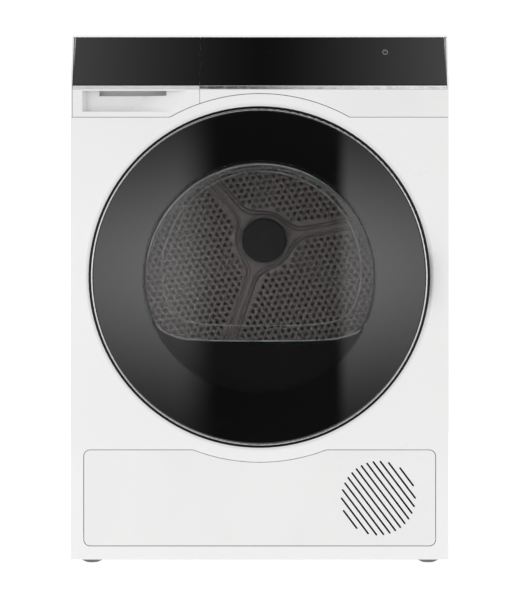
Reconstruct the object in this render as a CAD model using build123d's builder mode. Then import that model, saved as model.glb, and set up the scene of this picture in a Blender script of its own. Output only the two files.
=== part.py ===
from build123d import *
import math
import os

# Heat pump tumble dryer, free standing. Millimetres, +Z up, front towards -Y, +X to the right
# of a person who faces the machine. The origin is the centre of the footprint, on the floor.

os.makedirs("parts", exist_ok=True)

# ---- Cabinet
WIDTH = 600.0
HEIGHT = 845.0
BODY_DEPTH = 600.0
DOOR_PROUD = 38.0
COVER_PROUD = 16.0
SHEET = 1.2
JOINT_GAP = 0.8
BODY_BOTTOM = 10.0
WORKTOP_BOTTOM = 817.0
SIDE_RETURN = 20.0
FRONT_Y = DOOR_PROUD - (DOOR_PROUD + BODY_DEPTH + COVER_PROUD) / 2
BACK_Y = FRONT_Y + BODY_DEPTH
HALF_W = WIDTH / 2
INNER_W = HALF_W - SHEET

# ---- Front: door, fascia, service flap
DOOR_Z = 458.9
DOOR_R = 267.5
GLASS_R = 260.5
WINDOW_R = 184.0
FRAME_WALL = 3.8
DISH_R = 277.0
DISH_INNER_R = 266.0
DISH_DEPTH = 7.0
PORT_PANEL_R = 205.0
ARCH_R = 290.0
FASCIA_ARC_R = 291.0
FASCIA_BOTTOM = 712.3
BAND_TOP = 756.0
GLASS_BOTTOM = 762.0
GLASS_TOP = 841.0
GLASS_LEAN = 21.5
GLASS_TAPER = 3.0
DRAWER_EDGE_X = -95.5
CHEEK = 2.4
FLAP_HALF_W = 279.0
FLAP_BOTTOM = 31.8
FLAP_TOP = 183.7
FLAP_THICK = 3.0
FLAP_ARC_R = 295.0
FLAP_CORNER = 10.0
FLAP_AXIS_Y = FRONT_Y + 2.6
FLAP_PIN_R = 1.2
FLAP_AXIS_Z = 42.5
GRILLE_X = 188.4
GRILLE_Z = 107.3
GRILLE_R = 59.2
SLOT_COUNT = 13
SLOT_PITCH = 9.36
SLOT_WIDTH = 2.9
SLOT_ANGLE = -53.0

# ---- Door hinge and bowl
HINGE_X = 258.0
HINGE_Y = FRONT_Y - 20.0
PIN_R = 4.0
PIN_FIT = 0.06
HINGE_EYE_Z = (426.0, 491.0)
EYE_HEIGHT = 12.0
BOWL_R = 183.0
BOWL_FLAT = 100.0
BOWL_END_R = 169.0
BOWL_END_FLAT = 79.0
BOWL_CORNER = 70.0
BOWL_DEPTH = 62.0
BOWL_WALL = 4.0

# ---- Drum and drive
DRUM_Z = 520.0
DRUM_R = 283.0
DRUM_WALL = 1.2
DRUM_FRONT = FRONT_Y + 105.0
DRUM_BACK = FRONT_Y + 545.0
REAR_WALL_Y = FRONT_Y + 528.0
SPOKE_ANGLES = (11.0, 131.0, 251.0)
SPOKE_WIDTH = 26.0
HUB_CAP_R = 42.0
HUB_RING_R = 56.0
SHAFT_R = 14.0
BULKHEAD_Y = FRONT_Y + 60.0
BULKHEAD_THICK = 3.0
PORT_R = 195.0
COLLAR_R = 274.0
REAR_BULKHEAD_Y = FRONT_Y + 552.0
ROLLER_R = 25.0
ROLLER_ANGLE = 38.0
ROLLER_Y = FRONT_Y + 112.0
ROLLER_WIDTH = 16.0
RUN_GAP = 0.3
BELT_Y = FRONT_Y + 318.0
BELT_WIDTH = 10.0
BELT_THICK = 2.0
MOTOR_X = 75.0
MOTOR_Z = 120.0
PULLEY_R = 7.0
IDLER_R = 20.0

# ---- Lower bay
FLOOR_BOTTOM = 22.0
FLOOR_TOP = 26.0
DUCT_LEFT = -285.0
DUCT_RIGHT = -45.0
DUCT_TOP = 190.0
CHUTE_X = (-101.0, -52.0)
DUCT_WALL = 3.0
DUCT_FRONT = FRONT_Y + 34.0
PLENUM_Y = FRONT_Y + 460.0
PLENUM_RIGHT = 175.0
COMPRESSOR_X = 225.0
COMPRESSOR_Y = FRONT_Y + 395.0
COMPRESSOR_R = 60.0
FOOT_X = 270.0
FOOT_INSET = 40.0
PAD_R = 19.5
PAD_CONTACT_R = 11.0
FOOT_Y = (FRONT_Y + FOOT_INSET, BACK_Y - FOOT_INSET)

ARM_X = 160.0
ARM_Z = 60.0
ARM_Y = BELT_Y + 9.0
ARM_PIN_R = 5.0
PIPE_R = 4.0
PIPE_ENTRY_X = -90.0
PIPE_ENTRY_Y = (FRONT_Y + 150.0, FRONT_Y + 380.0)

# ---- Water tank
TANK_LEFT = -288.0
TANK_RIGHT = -102.0
TANK_TOP = 811.0
TANK_BOTTOM = 715.0
TANK_ARC_R = 300.0
TANK_FRONT_Y = FRONT_Y + 36.0
TANK_LENGTH = 420.0
TANK_WALL = 2.0
SLEEVE_GAP = 1.5

# ---- Lint filter
FILTER_HALF_W = 95.0
FILTER_TOP = 348.0
FILTER_BOTTOM = 272.0


def front_plane(y):
    """Vertical plane at depth y that faces the user: local x is +X, local y is +Z."""
    return Plane.XZ.offset(-y)


def slab(x_span, y_span, z_span, mode=Mode.ADD):
    """A box between two corners, given as spans along X, Y and Z."""
    centre = tuple((low + high) / 2 for low, high in (x_span, y_span, z_span))
    size = [high - low for low, high in (x_span, y_span, z_span)]
    with Locations(centre):
        Box(*size, mode=mode)


def disc(x, z, y_span, radius, mode=Mode.ADD):
    """A cylinder along Y."""
    with BuildSketch(front_plane(y_span[0])) as profile:
        with Locations((x, z)):
            Circle(radius)
    extrude(profile.sketch, amount=-(y_span[1] - y_span[0]), mode=mode)


def ring(x, z, y_span, outer, inner, mode=Mode.ADD):
    """A tube along Y."""
    with BuildSketch(front_plane(y_span[0])) as profile:
        with Locations((x, z)):
            Circle(outer)
            Circle(inner, mode=Mode.SUBTRACT)
    extrude(profile.sketch, amount=-(y_span[1] - y_span[0]), mode=mode)


def post(x, y, z_span, radius, mode=Mode.ADD):
    """A cylinder along Z."""
    with BuildSketch(Plane.XY.offset(z_span[0])) as profile:
        with Locations((x, y)):
            Circle(radius)
    extrude(profile.sketch, amount=z_span[1] - z_span[0], mode=mode)


def save(piece, name):
    """Label a finished piece and write it as its own STEP file."""
    piece.part.label = name
    export_step(piece.part, "parts/" + name + ".step")


# ================================ Cabinet ================================

with BuildPart() as base_tray:
    tray_half = INNER_W - 0.4
    tray_front = FRONT_Y + 22.0
    tray_back = BACK_Y - 2.0
    skirt = 4.0
    slab((-tray_half, tray_half), (tray_front, tray_back), (BODY_BOTTOM, FLOOR_TOP))
    slab((-tray_half + skirt, tray_half - skirt), (tray_front + skirt, tray_back - skirt),
         (BODY_BOTTOM, FLOOR_BOTTOM), mode=Mode.SUBTRACT)
    for rib_x in (-180.0, -60.0, 60.0, 180.0):
        slab((rib_x - 1.5, rib_x + 1.5), (tray_front, tray_back), (BODY_BOTTOM + 4, FLOOR_BOTTOM))
    for rib_y in (FRONT_Y + 180.0, FRONT_Y + 300.0, FRONT_Y + 420.0):
        slab((-tray_half, tray_half), (rib_y - 1.5, rib_y + 1.5), (BODY_BOTTOM + 4, FLOOR_BOTTOM))
    # Air duct on the left, which turns into the plenum in front of the process fan.
    duct_end = FRONT_Y + 497.0
    slab((DUCT_LEFT - DUCT_WALL, DUCT_RIGHT), (DUCT_FRONT, duct_end), (FLOOR_TOP, DUCT_TOP))
    slab((DUCT_LEFT, DUCT_RIGHT - DUCT_WALL), (DUCT_FRONT + DUCT_WALL, duct_end - DUCT_WALL),
         (FLOOR_TOP, DUCT_TOP - DUCT_WALL), mode=Mode.SUBTRACT)
    slab((DUCT_RIGHT, PLENUM_RIGHT), (PLENUM_Y, duct_end), (FLOOR_TOP, DUCT_TOP))
    slab((DUCT_RIGHT - DUCT_WALL, PLENUM_RIGHT - DUCT_WALL),
         (PLENUM_Y + DUCT_WALL, duct_end - DUCT_WALL),
         (FLOOR_TOP, DUCT_TOP - DUCT_WALL), mode=Mode.SUBTRACT)
    # Front mouth for the exchangers, air inlet from the lint filter and outlet to the fan.
    slab((DUCT_LEFT + 23, DUCT_RIGHT - 18), (DUCT_FRONT - 1, DUCT_FRONT + DUCT_WALL + 1), (48.0, 166.0),
         mode=Mode.SUBTRACT)
    slab((CHUTE_X[0] + 3, CHUTE_X[1] - 3), (FRONT_Y + 66.0, FRONT_Y + 98.0), (DUCT_TOP - 5, DUCT_TOP + 1),
         mode=Mode.SUBTRACT)
    disc(MOTOR_X, MOTOR_Z, (duct_end - 5, duct_end + 1), 48.0, mode=Mode.SUBTRACT)
    disc(MOTOR_X, MOTOR_Z, (PLENUM_Y - 1, PLENUM_Y + 5), 9.0, mode=Mode.SUBTRACT)
    # Motor cradle: two saddles that hold the motor's rubber rings.
    for saddle_y in (FRONT_Y + 352.0, FRONT_Y + 436.0):
        slab((MOTOR_X - 45, MOTOR_X + 45), (saddle_y, saddle_y + 10.0), (FLOOR_TOP, 92.0))
        disc(MOTOR_X, MOTOR_Z, (saddle_y - 1, saddle_y + 11.0), 55.05, mode=Mode.SUBTRACT)
    # Pivot post of the belt's idler arm.
    slab((ARM_X - 15, ARM_X + 15), (ARM_Y + 7, ARM_Y + 11), (FLOOR_TOP, ARM_Z + 12))
    disc(ARM_X, ARM_Z, (ARM_Y - 3, ARM_Y + 7), ARM_PIN_R)
    # Refrigerant pipes enter the duct through its roof.
    for pipe_y in PIPE_ENTRY_Y:
        post(PIPE_ENTRY_X, pipe_y, (DUCT_TOP - 5, DUCT_TOP + 1), PIPE_R + 0.5, mode=Mode.SUBTRACT)
    # Round bosses take the studs of the feet.
    for foot_x in (-FOOT_X, FOOT_X):
        for foot_y in FOOT_Y:
            post(foot_x, foot_y, (FLOOR_BOTTOM - 4, FLOOR_TOP), 14.0)
            post(foot_x, foot_y, (BODY_BOTTOM, FLOOR_TOP + 1), 5.3, mode=Mode.SUBTRACT)
save(base_tray, "base_tray")

with BuildPart() as feet:
    for foot_x in (-FOOT_X, FOOT_X):
        for foot_y in FOOT_Y:
            with BuildSketch(Plane.XY):
                with Locations((foot_x, foot_y)):
                    Circle(PAD_CONTACT_R)
            with BuildSketch(Plane.XY.offset(4.5)):
                with Locations((foot_x, foot_y)):
                    Circle(PAD_R)
            loft()
            post(foot_x, foot_y, (4.5, 7.0), PAD_R)
            with BuildSketch(Plane.XY.offset(7.0)):
                with Locations((foot_x, foot_y)):
                    RegularPolygon(13.0, 6)
            extrude(amount=10.8)
            post(foot_x, foot_y, (17.0, FLOOR_TOP - 1), 5.0)
save(feet, "feet")


def side_panel(side):
    """One side wall: sheet with a pressed field and a rear return; side is -1 or +1."""
    outer = side * HALF_W
    inner = side * INNER_W
    field_y = (FRONT_Y + 90.0, BACK_Y - 70.0)
    field_z = (120.0, 720.0)
    press = 1.0
    front_edge = FRONT_Y + SIDE_RETURN + JOINT_GAP
    slab(sorted((outer, inner)), (front_edge, BACK_Y), (BODY_BOTTOM, WORKTOP_BOTTOM))
    backing = sorted((inner, inner - side * press))
    slab(backing, field_y, field_z)
    with BuildSketch(Plane.YZ.offset(outer)) as field:
        with Locations(((field_y[0] + field_y[1]) / 2, (field_z[0] + field_z[1]) / 2)):
            RectangleRounded(field_y[1] - field_y[0] - 4, field_z[1] - field_z[0] - 4, 20.0)
    extrude(field.sketch, amount=-side * press, mode=Mode.SUBTRACT)
    slab(sorted((inner, side * (INNER_W - 13.0))), (BACK_Y - SHEET, BACK_Y),
         (BODY_BOTTOM, WORKTOP_BOTTOM))


with BuildPart() as side_panel_left:
    side_panel(-1)
save(side_panel_left, "side_panel_left")

with BuildPart() as side_panel_right:
    side_panel(1)
save(side_panel_right, "side_panel_right")

REAR_HALF_W = INNER_W - 13.4
INLET_X = 235.0
INLET_Z = 118.0
SPIGOT_X = -245.0
SPIGOT_Z = 150.0
COVER_R = 240.0
VENT_Z0 = 70.0
VENT_COUNT = 9

with BuildPart() as rear_panel:
    with BuildSketch(front_plane(BACK_Y - SHEET)):
        with Locations((0, (28.0 + WORKTOP_BOTTOM - 1) / 2)):
            Rectangle(2 * REAR_HALF_W, WORKTOP_BOTTOM - 1 - 28.0)
        with Locations((0, DRUM_Z)):
            Circle(COVER_R - 14.0, mode=Mode.SUBTRACT)
        for vent in range(VENT_COUNT):
            with Locations((105.0, VENT_Z0 + 12.0 * vent)):
                SlotOverall(90.0, 4.0, mode=Mode.SUBTRACT)
        with Locations((INLET_X, INLET_Z)):
            Rectangle(34.0, 26.0, mode=Mode.SUBTRACT)
        with Locations((SPIGOT_X, SPIGOT_Z)):
            Circle(9.0, mode=Mode.SUBTRACT)
    extrude(amount=-SHEET)
save(rear_panel, "rear_panel")

with BuildPart() as rear_cover:
    # Shallow pressed dish that carries the hot air up to the drum's rear wall.
    with BuildSketch(Plane.XY.offset(DRUM_Z)):
        with BuildLine():
            Polyline((0, BACK_Y + COVER_PROUD), (COVER_R - 26, BACK_Y + COVER_PROUD),
                     (COVER_R - 18, BACK_Y + SHEET), (COVER_R, BACK_Y + SHEET),
                     (COVER_R, BACK_Y), (COVER_R - 18.6, BACK_Y),
                     (COVER_R - 26.6, BACK_Y + COVER_PROUD - SHEET),
                     (0, BACK_Y + COVER_PROUD - SHEET), close=True)
        make_face()
    revolve(axis=Axis((0, 0, DRUM_Z), (0, 1, 0)))
save(rear_cover, "rear_cover")

with BuildPart() as mains_inlet:
    # Bayonet gland for the supply lead: flange outside, body inside, square passage.
    slab((INLET_X - 21, INLET_X + 21), (BACK_Y, BACK_Y + 5), (INLET_Z - 17, INLET_Z + 17))
    fillet(mains_inlet.edges().filter_by(Axis.Y), 4.0)
    slab((INLET_X - 16.5, INLET_X + 16.5), (BACK_Y - 22, BACK_Y), (INLET_Z - 12.5, INLET_Z + 12.5))
    disc(INLET_X, INLET_Z, (BACK_Y - 23, BACK_Y + 6), 5.0, mode=Mode.SUBTRACT)
save(mains_inlet, "mains_inlet")

with BuildPart() as worktop:
    top_front = FRONT_Y + 31.5
    lip_front = FRONT_Y + 20.5
    slab((-HALF_W, HALF_W), (top_front, BACK_Y), (WORKTOP_BOTTOM, HEIGHT))
    slab((-HALF_W + 3, HALF_W - 3), (top_front + 3, BACK_Y - 3), (WORKTOP_BOTTOM, WORKTOP_BOTTOM + 12),
         mode=Mode.SUBTRACT)
    slab((-HALF_W, HALF_W), (lip_front, top_front + 1), (GLASS_TOP + 0.6, HEIGHT))
    corner_edges = worktop.edges().filter_by(Axis.Z).group_by(Axis.Y)[0]
    fillet(corner_edges, 2.0)
    top_edges = worktop.faces().sort_by(Axis.Z)[-1].edges()
    fillet(top_edges, 1.5)
save(worktop, "worktop")


def panel_outline(gap):
    """Flap outline with its arched notch, made larger all round by gap."""
    width = 2 * (FLAP_HALF_W + gap)
    height = FLAP_TOP - FLAP_BOTTOM + 2 * gap
    with Locations((0, (FLAP_TOP + FLAP_BOTTOM) / 2)):
        RectangleRounded(width, height, FLAP_CORNER + gap)
    with Locations((0, DOOR_Z)):
        Circle(FLAP_ARC_R - gap, mode=Mode.SUBTRACT)


LATCH_X = -240.0

with BuildPart() as front_panel:
    with BuildSketch(front_plane(FRONT_Y)):
        top_edge = FASCIA_BOTTOM - JOINT_GAP
        with Locations((0, (BODY_BOTTOM + top_edge) / 2)):
            Rectangle(WIDTH, top_edge - BODY_BOTTOM)
        with Locations((0, DOOR_Z)):
            Circle(ARCH_R)
            Circle(DISH_R, mode=Mode.SUBTRACT)
    extrude(amount=-SHEET)
    with BuildSketch(front_plane(FRONT_Y - 1)):
        panel_outline(JOINT_GAP)
    extrude(amount=-(SHEET + 2), mode=Mode.SUBTRACT)
    # Dish behind the door: a soft step down to a flat floor with the loading port in it.
    with BuildSketch(Plane.XY.offset(DOOR_Z)):
        with BuildLine():
            rim = Spline((DISH_R, FRONT_Y), (DISH_INNER_R, FRONT_Y + DISH_DEPTH),
                         tangents=[(-1, 0), (-1, 0)])
            floor = Line(rim @ 1, (PORT_PANEL_R, FRONT_Y + DISH_DEPTH))
            lip = Line(floor @ 1, (PORT_PANEL_R, FRONT_Y + DISH_DEPTH + SHEET))
            under = Line(lip @ 1, (DISH_INNER_R, FRONT_Y + DISH_DEPTH + SHEET))
            back = Spline(under @ 1, (DISH_R, FRONT_Y + SHEET), tangents=[(1, 0), (1, 0)])
            Line(back @ 1, rim @ 0)
        make_face()
    revolve(axis=Axis((0, 0, DOOR_Z), (0, 1, 0)))
    # Slot for the door's hook.
    slab((LATCH_X - 9, LATCH_X + 9), (FRONT_Y, FRONT_Y + 12), (DOOR_Z - 14, DOOR_Z + 14),
         mode=Mode.SUBTRACT)
    # Returns at the sides, bottom and round the flap opening's ends.
    for side in (-1, 1):
        slab(sorted((side * HALF_W, side * INNER_W)), (FRONT_Y + SHEET, FRONT_Y + SIDE_RETURN),
             (BODY_BOTTOM, top_edge))
        ear_x = sorted((side * (FLAP_HALF_W + 1.2), side * (FLAP_HALF_W + 4.2)))
        slab(ear_x, (FRONT_Y, FRONT_Y + 8), (FLAP_BOTTOM, FLAP_AXIS_Z + 8))
        with BuildSketch(Plane.YZ.offset(ear_x[0] - 1)):
            with Locations((FLAP_AXIS_Y, FLAP_AXIS_Z)):
                Circle(FLAP_PIN_R + 0.06)
        extrude(amount=5, mode=Mode.SUBTRACT)
    slab((-HALF_W + 2, HALF_W - 2), (FRONT_Y + SHEET, FRONT_Y + 19), (BODY_BOTTOM, BODY_BOTTOM + SHEET))
save(front_panel, "front_panel")

with BuildPart() as panel_screws:
    # Hexagon screws round the back edge and the round rear cover.
    screw_z = (60.0, 240.0, 420.0, 600.0, 780.0)
    with BuildSketch(front_plane(BACK_Y)):
        with Locations([(x, z) for x in (-292.0, 292.0) for z in screw_z]):
            RegularPolygon(4.0, 6)
    extrude(amount=-3.0)
    with BuildSketch(front_plane(BACK_Y + SHEET)):
        with Locations((0, DRUM_Z)):
            with PolarLocations(COVER_R - 8, 8, start_angle=22.5):
                RegularPolygon(4.0, 6)
    extrude(amount=-3.0)
save(panel_screws, "panel_screws")

# ================================ Fascia and drawer front ================================

SKIN = 2.5


def fascia_profile():
    """Side view of the fascia skin: upright band, groove for the trim, raked back for the glass."""
    rake = GLASS_LEAN / (GLASS_TOP - GLASS_BOTTOM)
    seat = FRONT_Y + 5.2
    top_y = seat + rake * (GLASS_TOP - GLASS_BOTTOM)
    with BuildLine() as outline:
        Polyline((FRONT_Y, FASCIA_BOTTOM), (FRONT_Y, BAND_TOP), (FRONT_Y + 3.4, BAND_TOP),
                 (FRONT_Y + 3.4, GLASS_BOTTOM), (seat, GLASS_BOTTOM), (top_y, GLASS_TOP),
                 (top_y + SKIN, GLASS_TOP), (seat + SKIN + 1, GLASS_BOTTOM - 3),
                 (FRONT_Y + SKIN + 3.4, BAND_TOP - 3), (FRONT_Y + SKIN, BAND_TOP - 6),
                 (FRONT_Y + SKIN, FASCIA_BOTTOM), close=True)
    make_face(outline.edges())


def fascia_skin(x_span):
    """The fascia profile between two X positions, with the arch over the door cut away."""
    with BuildSketch(Plane.YZ.offset(x_span[0])) as side_view:
        fascia_profile()
    extrude(side_view.sketch, amount=x_span[1] - x_span[0])


def cut_arch():
    disc(0, DOOR_Z, (FRONT_Y - 1, FRONT_Y + 40), FASCIA_ARC_R, mode=Mode.SUBTRACT)


def cheek(side):
    """White end cheek beside the black glass."""
    outer = side * HALF_W
    inner = side * (HALF_W - CHEEK)
    with BuildSketch(Plane.YZ.offset(min(outer, inner))) as side_view:
        with BuildLine():
            Polyline((FRONT_Y, FASCIA_BOTTOM), (FRONT_Y, GLASS_BOTTOM),
                     (FRONT_Y + GLASS_LEAN, GLASS_TOP), (FRONT_Y + 31.2, GLASS_TOP),
                     (FRONT_Y + 31.2, WORKTOP_BOTTOM + 0.5),
                     (FRONT_Y + SIDE_RETURN, WORKTOP_BOTTOM + 0.5),
                     (FRONT_Y + SIDE_RETURN, FASCIA_BOTTOM), close=True)
        make_face()
    extrude(side_view.sketch, amount=CHEEK)


def glass_cover(x_span, taper_left, taper_right):
    """Raked glass plate; its free side leans inwards towards the top."""
    lean = Plane(origin=(0, FRONT_Y + 0.9, GLASS_BOTTOM + 1.4), x_dir=(1, 0, 0),
                 z_dir=(0, -(GLASS_TOP - GLASS_BOTTOM), GLASS_LEAN))
    slope_height = math.hypot(GLASS_TOP - GLASS_BOTTOM - 1.8, GLASS_LEAN)
    with BuildSketch(lean) as plate:
        with BuildLine():
            Polyline((x_span[0], 0), (x_span[1], 0), (x_span[1] - taper_right, slope_height),
                     (x_span[0] + taper_left, slope_height), close=True)
        make_face()
    extrude(plate.sketch, amount=-4.0)


FREE_EDGE = HALF_W - CHEEK - 0.6

with BuildPart() as fascia:
    fascia_skin((DRAWER_EDGE_X + 0.6, HALF_W - CHEEK))
    cheek(-1)
    cheek(1)
    # End wall beside the drawer and rail under it that ties the left cheek to the rest.
    slab((DRAWER_EDGE_X + 0.6, DRAWER_EDGE_X + 3.0), (FRONT_Y + SKIN, FRONT_Y + 26), (731.0, BAND_TOP - 1))
    slab((DRAWER_EDGE_X + 0.6, DRAWER_EDGE_X + 3.0), (FRONT_Y + 9, FRONT_Y + 26), (BAND_TOP - 1, 766.0))
    # Top rail that runs behind the drawer's glass and ties the left cheek to the rest.
    slab((-HALF_W + 1, HALF_W - 1), (FRONT_Y + 29.6, FRONT_Y + 31.2), (832.0, GLASS_TOP))
    slab((DRAWER_EDGE_X + 0.6, HALF_W - CHEEK), (FRONT_Y + 27, FRONT_Y + 31.2), (836.0, GLASS_TOP))
    cut_arch()
save(fascia, "fascia")

with BuildPart() as control_glass:
    glass_cover((DRAWER_EDGE_X + 0.7, FREE_EDGE), 0, GLASS_TAPER)
save(control_glass, "control_glass")

with BuildPart() as fascia_trim:
    slab((DRAWER_EDGE_X + 0.7, FREE_EDGE), (FRONT_Y + 0.3, FRONT_Y + 3.3), (BAND_TOP + 0.2, GLASS_BOTTOM))
    fillet(fascia_trim.faces().sort_by(Axis.Y)[0].edges().filter_by(Axis.X), 0.8)
save(fascia_trim, "fascia_trim")

with BuildPart() as control_board:
    # Electronics tray behind the fascia: closed housing, circuit board lip and plug row.
    slab((-60.0, 250.0), (FRONT_Y + 34, FRONT_Y + 56), (770.0, 814.0))
    slab((-50.0, 240.0), (FRONT_Y + 37, FRONT_Y + 57), (773.0, 811.0), mode=Mode.SUBTRACT)
    slab((-50.0, 240.0), (FRONT_Y + 42, FRONT_Y + 43.6), (773.0, 811.0))
    for plug_x in (-30.0, 20.0, 70.0, 120.0, 170.0, 220.0):
        slab((plug_x - 9, plug_x + 9), (FRONT_Y + 43.6, FRONT_Y + 54), (776.0, 784.0))
save(control_board, "control_board")

DRAWER_LEFT = -HALF_W + CHEEK + 0.6
GRIP_LEFT = -282.0
GRIP_FLOOR_LEFT = -274.0
GRIP_FADE_TOP = -115.0
GRIP_FADE_BOTTOM = -143.0
GRIP_Z = (720.6, 754.0)
GRIP_DEPTH = 15.0
FINGER_X = (-256.0, -148.6)
FINGER_Z = (746.5, 768.0)


def grip_scoop(grow):
    """Wedge of the grip: deep on the left, fading out to the right along a slanted line."""
    low = GRIP_Z[0] - grow
    high = GRIP_Z[1] + grow
    left = GRIP_LEFT - grow
    floor_left = GRIP_FLOOR_LEFT - grow
    depth = GRIP_DEPTH + grow
    sections = []
    for height, fade in ((low, GRIP_FADE_BOTTOM), (high, GRIP_FADE_TOP)):
        with BuildSketch(Plane.XY.offset(height)) as section:
            with BuildLine():
                Polyline((left, FRONT_Y), (floor_left, FRONT_Y + depth),
                         (fade - 62 + grow, FRONT_Y + depth), (fade + grow, FRONT_Y), close=True)
            make_face()
        sections.append(section.sketch)
    return sections


with BuildPart() as tank_front:
    fascia_skin((DRAWER_LEFT, DRAWER_EDGE_X))
    for end_x in (DRAWER_LEFT, DRAWER_EDGE_X - SKIN):
        slab((end_x, end_x + SKIN), (FRONT_Y + SKIN, FRONT_Y + 12), (FASCIA_BOTTOM + 2, BAND_TOP - 6))
    slab((-290.0, -108.0), (FRONT_Y + SKIN, FRONT_Y + 26), (FASCIA_BOTTOM + 2, FASCIA_BOTTOM + 4.5))
    cut_arch()
    loft(grip_scoop(2.2))
    slab((FINGER_X[0] - 2.2, FINGER_X[1] + 2.2), (FRONT_Y + 7.5, FRONT_Y + 30),
         (FINGER_Z[0] - 2.2, FINGER_Z[1] + 2.2))
    loft(grip_scoop(0), mode=Mode.SUBTRACT)
    slab(FINGER_X, (FRONT_Y + 10.0, FRONT_Y + 27.5), FINGER_Z, mode=Mode.SUBTRACT)
    slab(FINGER_X, (FRONT_Y + 5.0, FRONT_Y + 12.0), (FINGER_Z[0], GRIP_Z[1]), mode=Mode.SUBTRACT)
    # Two pillars that clip the front onto the tank.
    for pillar_x in (-270.0, -196.0):
        slab((pillar_x - 8, pillar_x + 8), (FRONT_Y + 30, TANK_FRONT_Y), (782.0, 800.0))
        slab((pillar_x - 8, pillar_x + 8), (FRONT_Y + 18, FRONT_Y + 30), (785.0, 797.0))
save(tank_front, "tank_front")

with BuildPart() as tank_glass:
    glass_cover((DRAWER_LEFT + 0.1, DRAWER_EDGE_X - 0.1), GLASS_TAPER, 0)
save(tank_glass, "tank_glass")

with BuildPart() as tank_trim:
    slab((DRAWER_LEFT + 0.1, DRAWER_EDGE_X - 0.1), (FRONT_Y + 0.3, FRONT_Y + 3.3),
         (BAND_TOP + 0.2, GLASS_BOTTOM))
    fillet(tank_trim.faces().sort_by(Axis.Y)[0].edges().filter_by(Axis.X), 0.8)
save(tank_trim, "tank_trim")


def tank_section(grow):
    """Cross-section of the tank: a corner that hugs the drum, made larger by grow."""
    left = TANK_LEFT - grow
    right = TANK_RIGHT + grow
    top = TANK_TOP + grow
    bottom = TANK_BOTTOM - grow
    radius = TANK_ARC_R - grow
    arc_foot = -math.sqrt(radius ** 2 - (bottom - DRUM_Z) ** 2)
    arc_head = DRUM_Z + math.sqrt(radius ** 2 - right ** 2)
    middle = math.radians(0.5 * (math.degrees(math.atan2(bottom - DRUM_Z, arc_foot))
                                 + math.degrees(math.atan2(arc_head - DRUM_Z, right))))
    with BuildLine() as outline:
        Polyline((arc_foot, bottom), (left, bottom), (left, top), (right, top), (right, arc_head))
        ThreePointArc((right, arc_head),
                      (radius * math.cos(middle), DRUM_Z + radius * math.sin(middle)),
                      (arc_foot, bottom))
    make_face(outline.edges())


TANK_BACK_Y = TANK_FRONT_Y + TANK_LENGTH
NECK_X = -255.0
NECK_Y = TANK_BACK_Y - 40.0

with BuildPart() as tank_shell:
    with BuildSketch(front_plane(TANK_FRONT_Y)):
        tank_section(0)
    extrude(amount=-TANK_LENGTH)
    with BuildSketch(front_plane(TANK_FRONT_Y + TANK_WALL)):
        tank_section(-TANK_WALL)
    extrude(amount=-(TANK_LENGTH - 2 * TANK_WALL), mode=Mode.SUBTRACT)
    post(NECK_X, NECK_Y, (TANK_TOP - 6, TANK_TOP + 1), 12.0, mode=Mode.SUBTRACT)
save(tank_shell, "tank_shell")

with BuildPart() as tank_housing:
    # Fixed sleeve that the drawer slides in, closed at the back, with the hose inlet on top.
    sleeve = SLEEVE_GAP + TANK_WALL
    with BuildSketch(front_plane(TANK_FRONT_Y - 1)):
        tank_section(sleeve)
    extrude(amount=-(TANK_LENGTH + 6))
    with BuildSketch(front_plane(TANK_FRONT_Y - 2)):
        tank_section(SLEEVE_GAP)
    extrude(amount=-(TANK_LENGTH + 5), mode=Mode.SUBTRACT)
    disc(-262.0, 770.0, (TANK_BACK_Y, TANK_BACK_Y + 24), 8.0)
    disc(-262.0, 770.0, (TANK_BACK_Y, TANK_BACK_Y + 25), 5.0, mode=Mode.SUBTRACT)
save(tank_housing, "tank_housing")

# ================================ Door ================================

EYE_SLOT = EYE_HEIGHT + 5.0


def cut_hinge_notches():
    """Openings at the right rim of the door that let the fixed hinge arms pass."""
    for eye_z in HINGE_EYE_Z:
        slab((HINGE_X - 30, HINGE_X + 20), (FRONT_Y - 34.0, FRONT_Y),
             (eye_z - EYE_SLOT / 2, eye_z + EYE_SLOT / 2),
             mode=Mode.SUBTRACT)


with BuildPart() as door_glass:
    disc(0, DOOR_Z, (FRONT_Y - DOOR_PROUD, FRONT_Y - 34), GLASS_R)
    fillet(door_glass.faces().sort_by(Axis.Y)[0].edges(), 1.2)
save(door_glass, "door_glass")

with BuildPart() as door_trim_ring:
    ring(0, DOOR_Z, (FRONT_Y - DOOR_PROUD, FRONT_Y - 33.8), GLASS_R + 3.0, GLASS_R + 0.2)
    fillet(door_trim_ring.faces().sort_by(Axis.Y)[0].edges(), 1.0)
save(door_trim_ring, "door_trim_ring")

with BuildPart() as door_frame:
    ring(0, DOOR_Z, (FRONT_Y - 37.0, FRONT_Y - 1.5), DOOR_R, DOOR_R - FRAME_WALL)
    ring(0, DOOR_Z, (FRONT_Y - 33.7, FRONT_Y - 30.5), DOOR_R - FRAME_WALL, WINDOW_R)
    fillet(door_frame.faces().sort_by(Axis.Y)[0].edges(), 1.5)
    rear_rounds = door_frame.edges().filter_by(GeomType.CIRCLE).group_by(Axis.Y)[-1]
    fillet(rear_rounds.sort_by(SortBy.RADIUS)[-1], 2.0)
    cut_hinge_notches()
    post(HINGE_X, HINGE_Y, (HINGE_EYE_Z[0] - 10, HINGE_EYE_Z[1] + 10), PIN_R + 0.6, mode=Mode.SUBTRACT)
save(door_frame, "door_frame")


def bowl_outline(radius, flat):
    """Circle with a flat across its bottom and large rounded corners between them."""
    with Locations((0, DOOR_Z)):
        Circle(radius)
    with Locations((0, DOOR_Z - flat - radius / 2)):
        Rectangle(2.5 * radius, radius, mode=Mode.SUBTRACT)


def bowl_section(y, radius, flat, corner):
    with BuildSketch(front_plane(y)) as section:
        bowl_outline(radius, flat)
        fillet(section.vertices(), corner)
    return section.sketch


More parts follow.
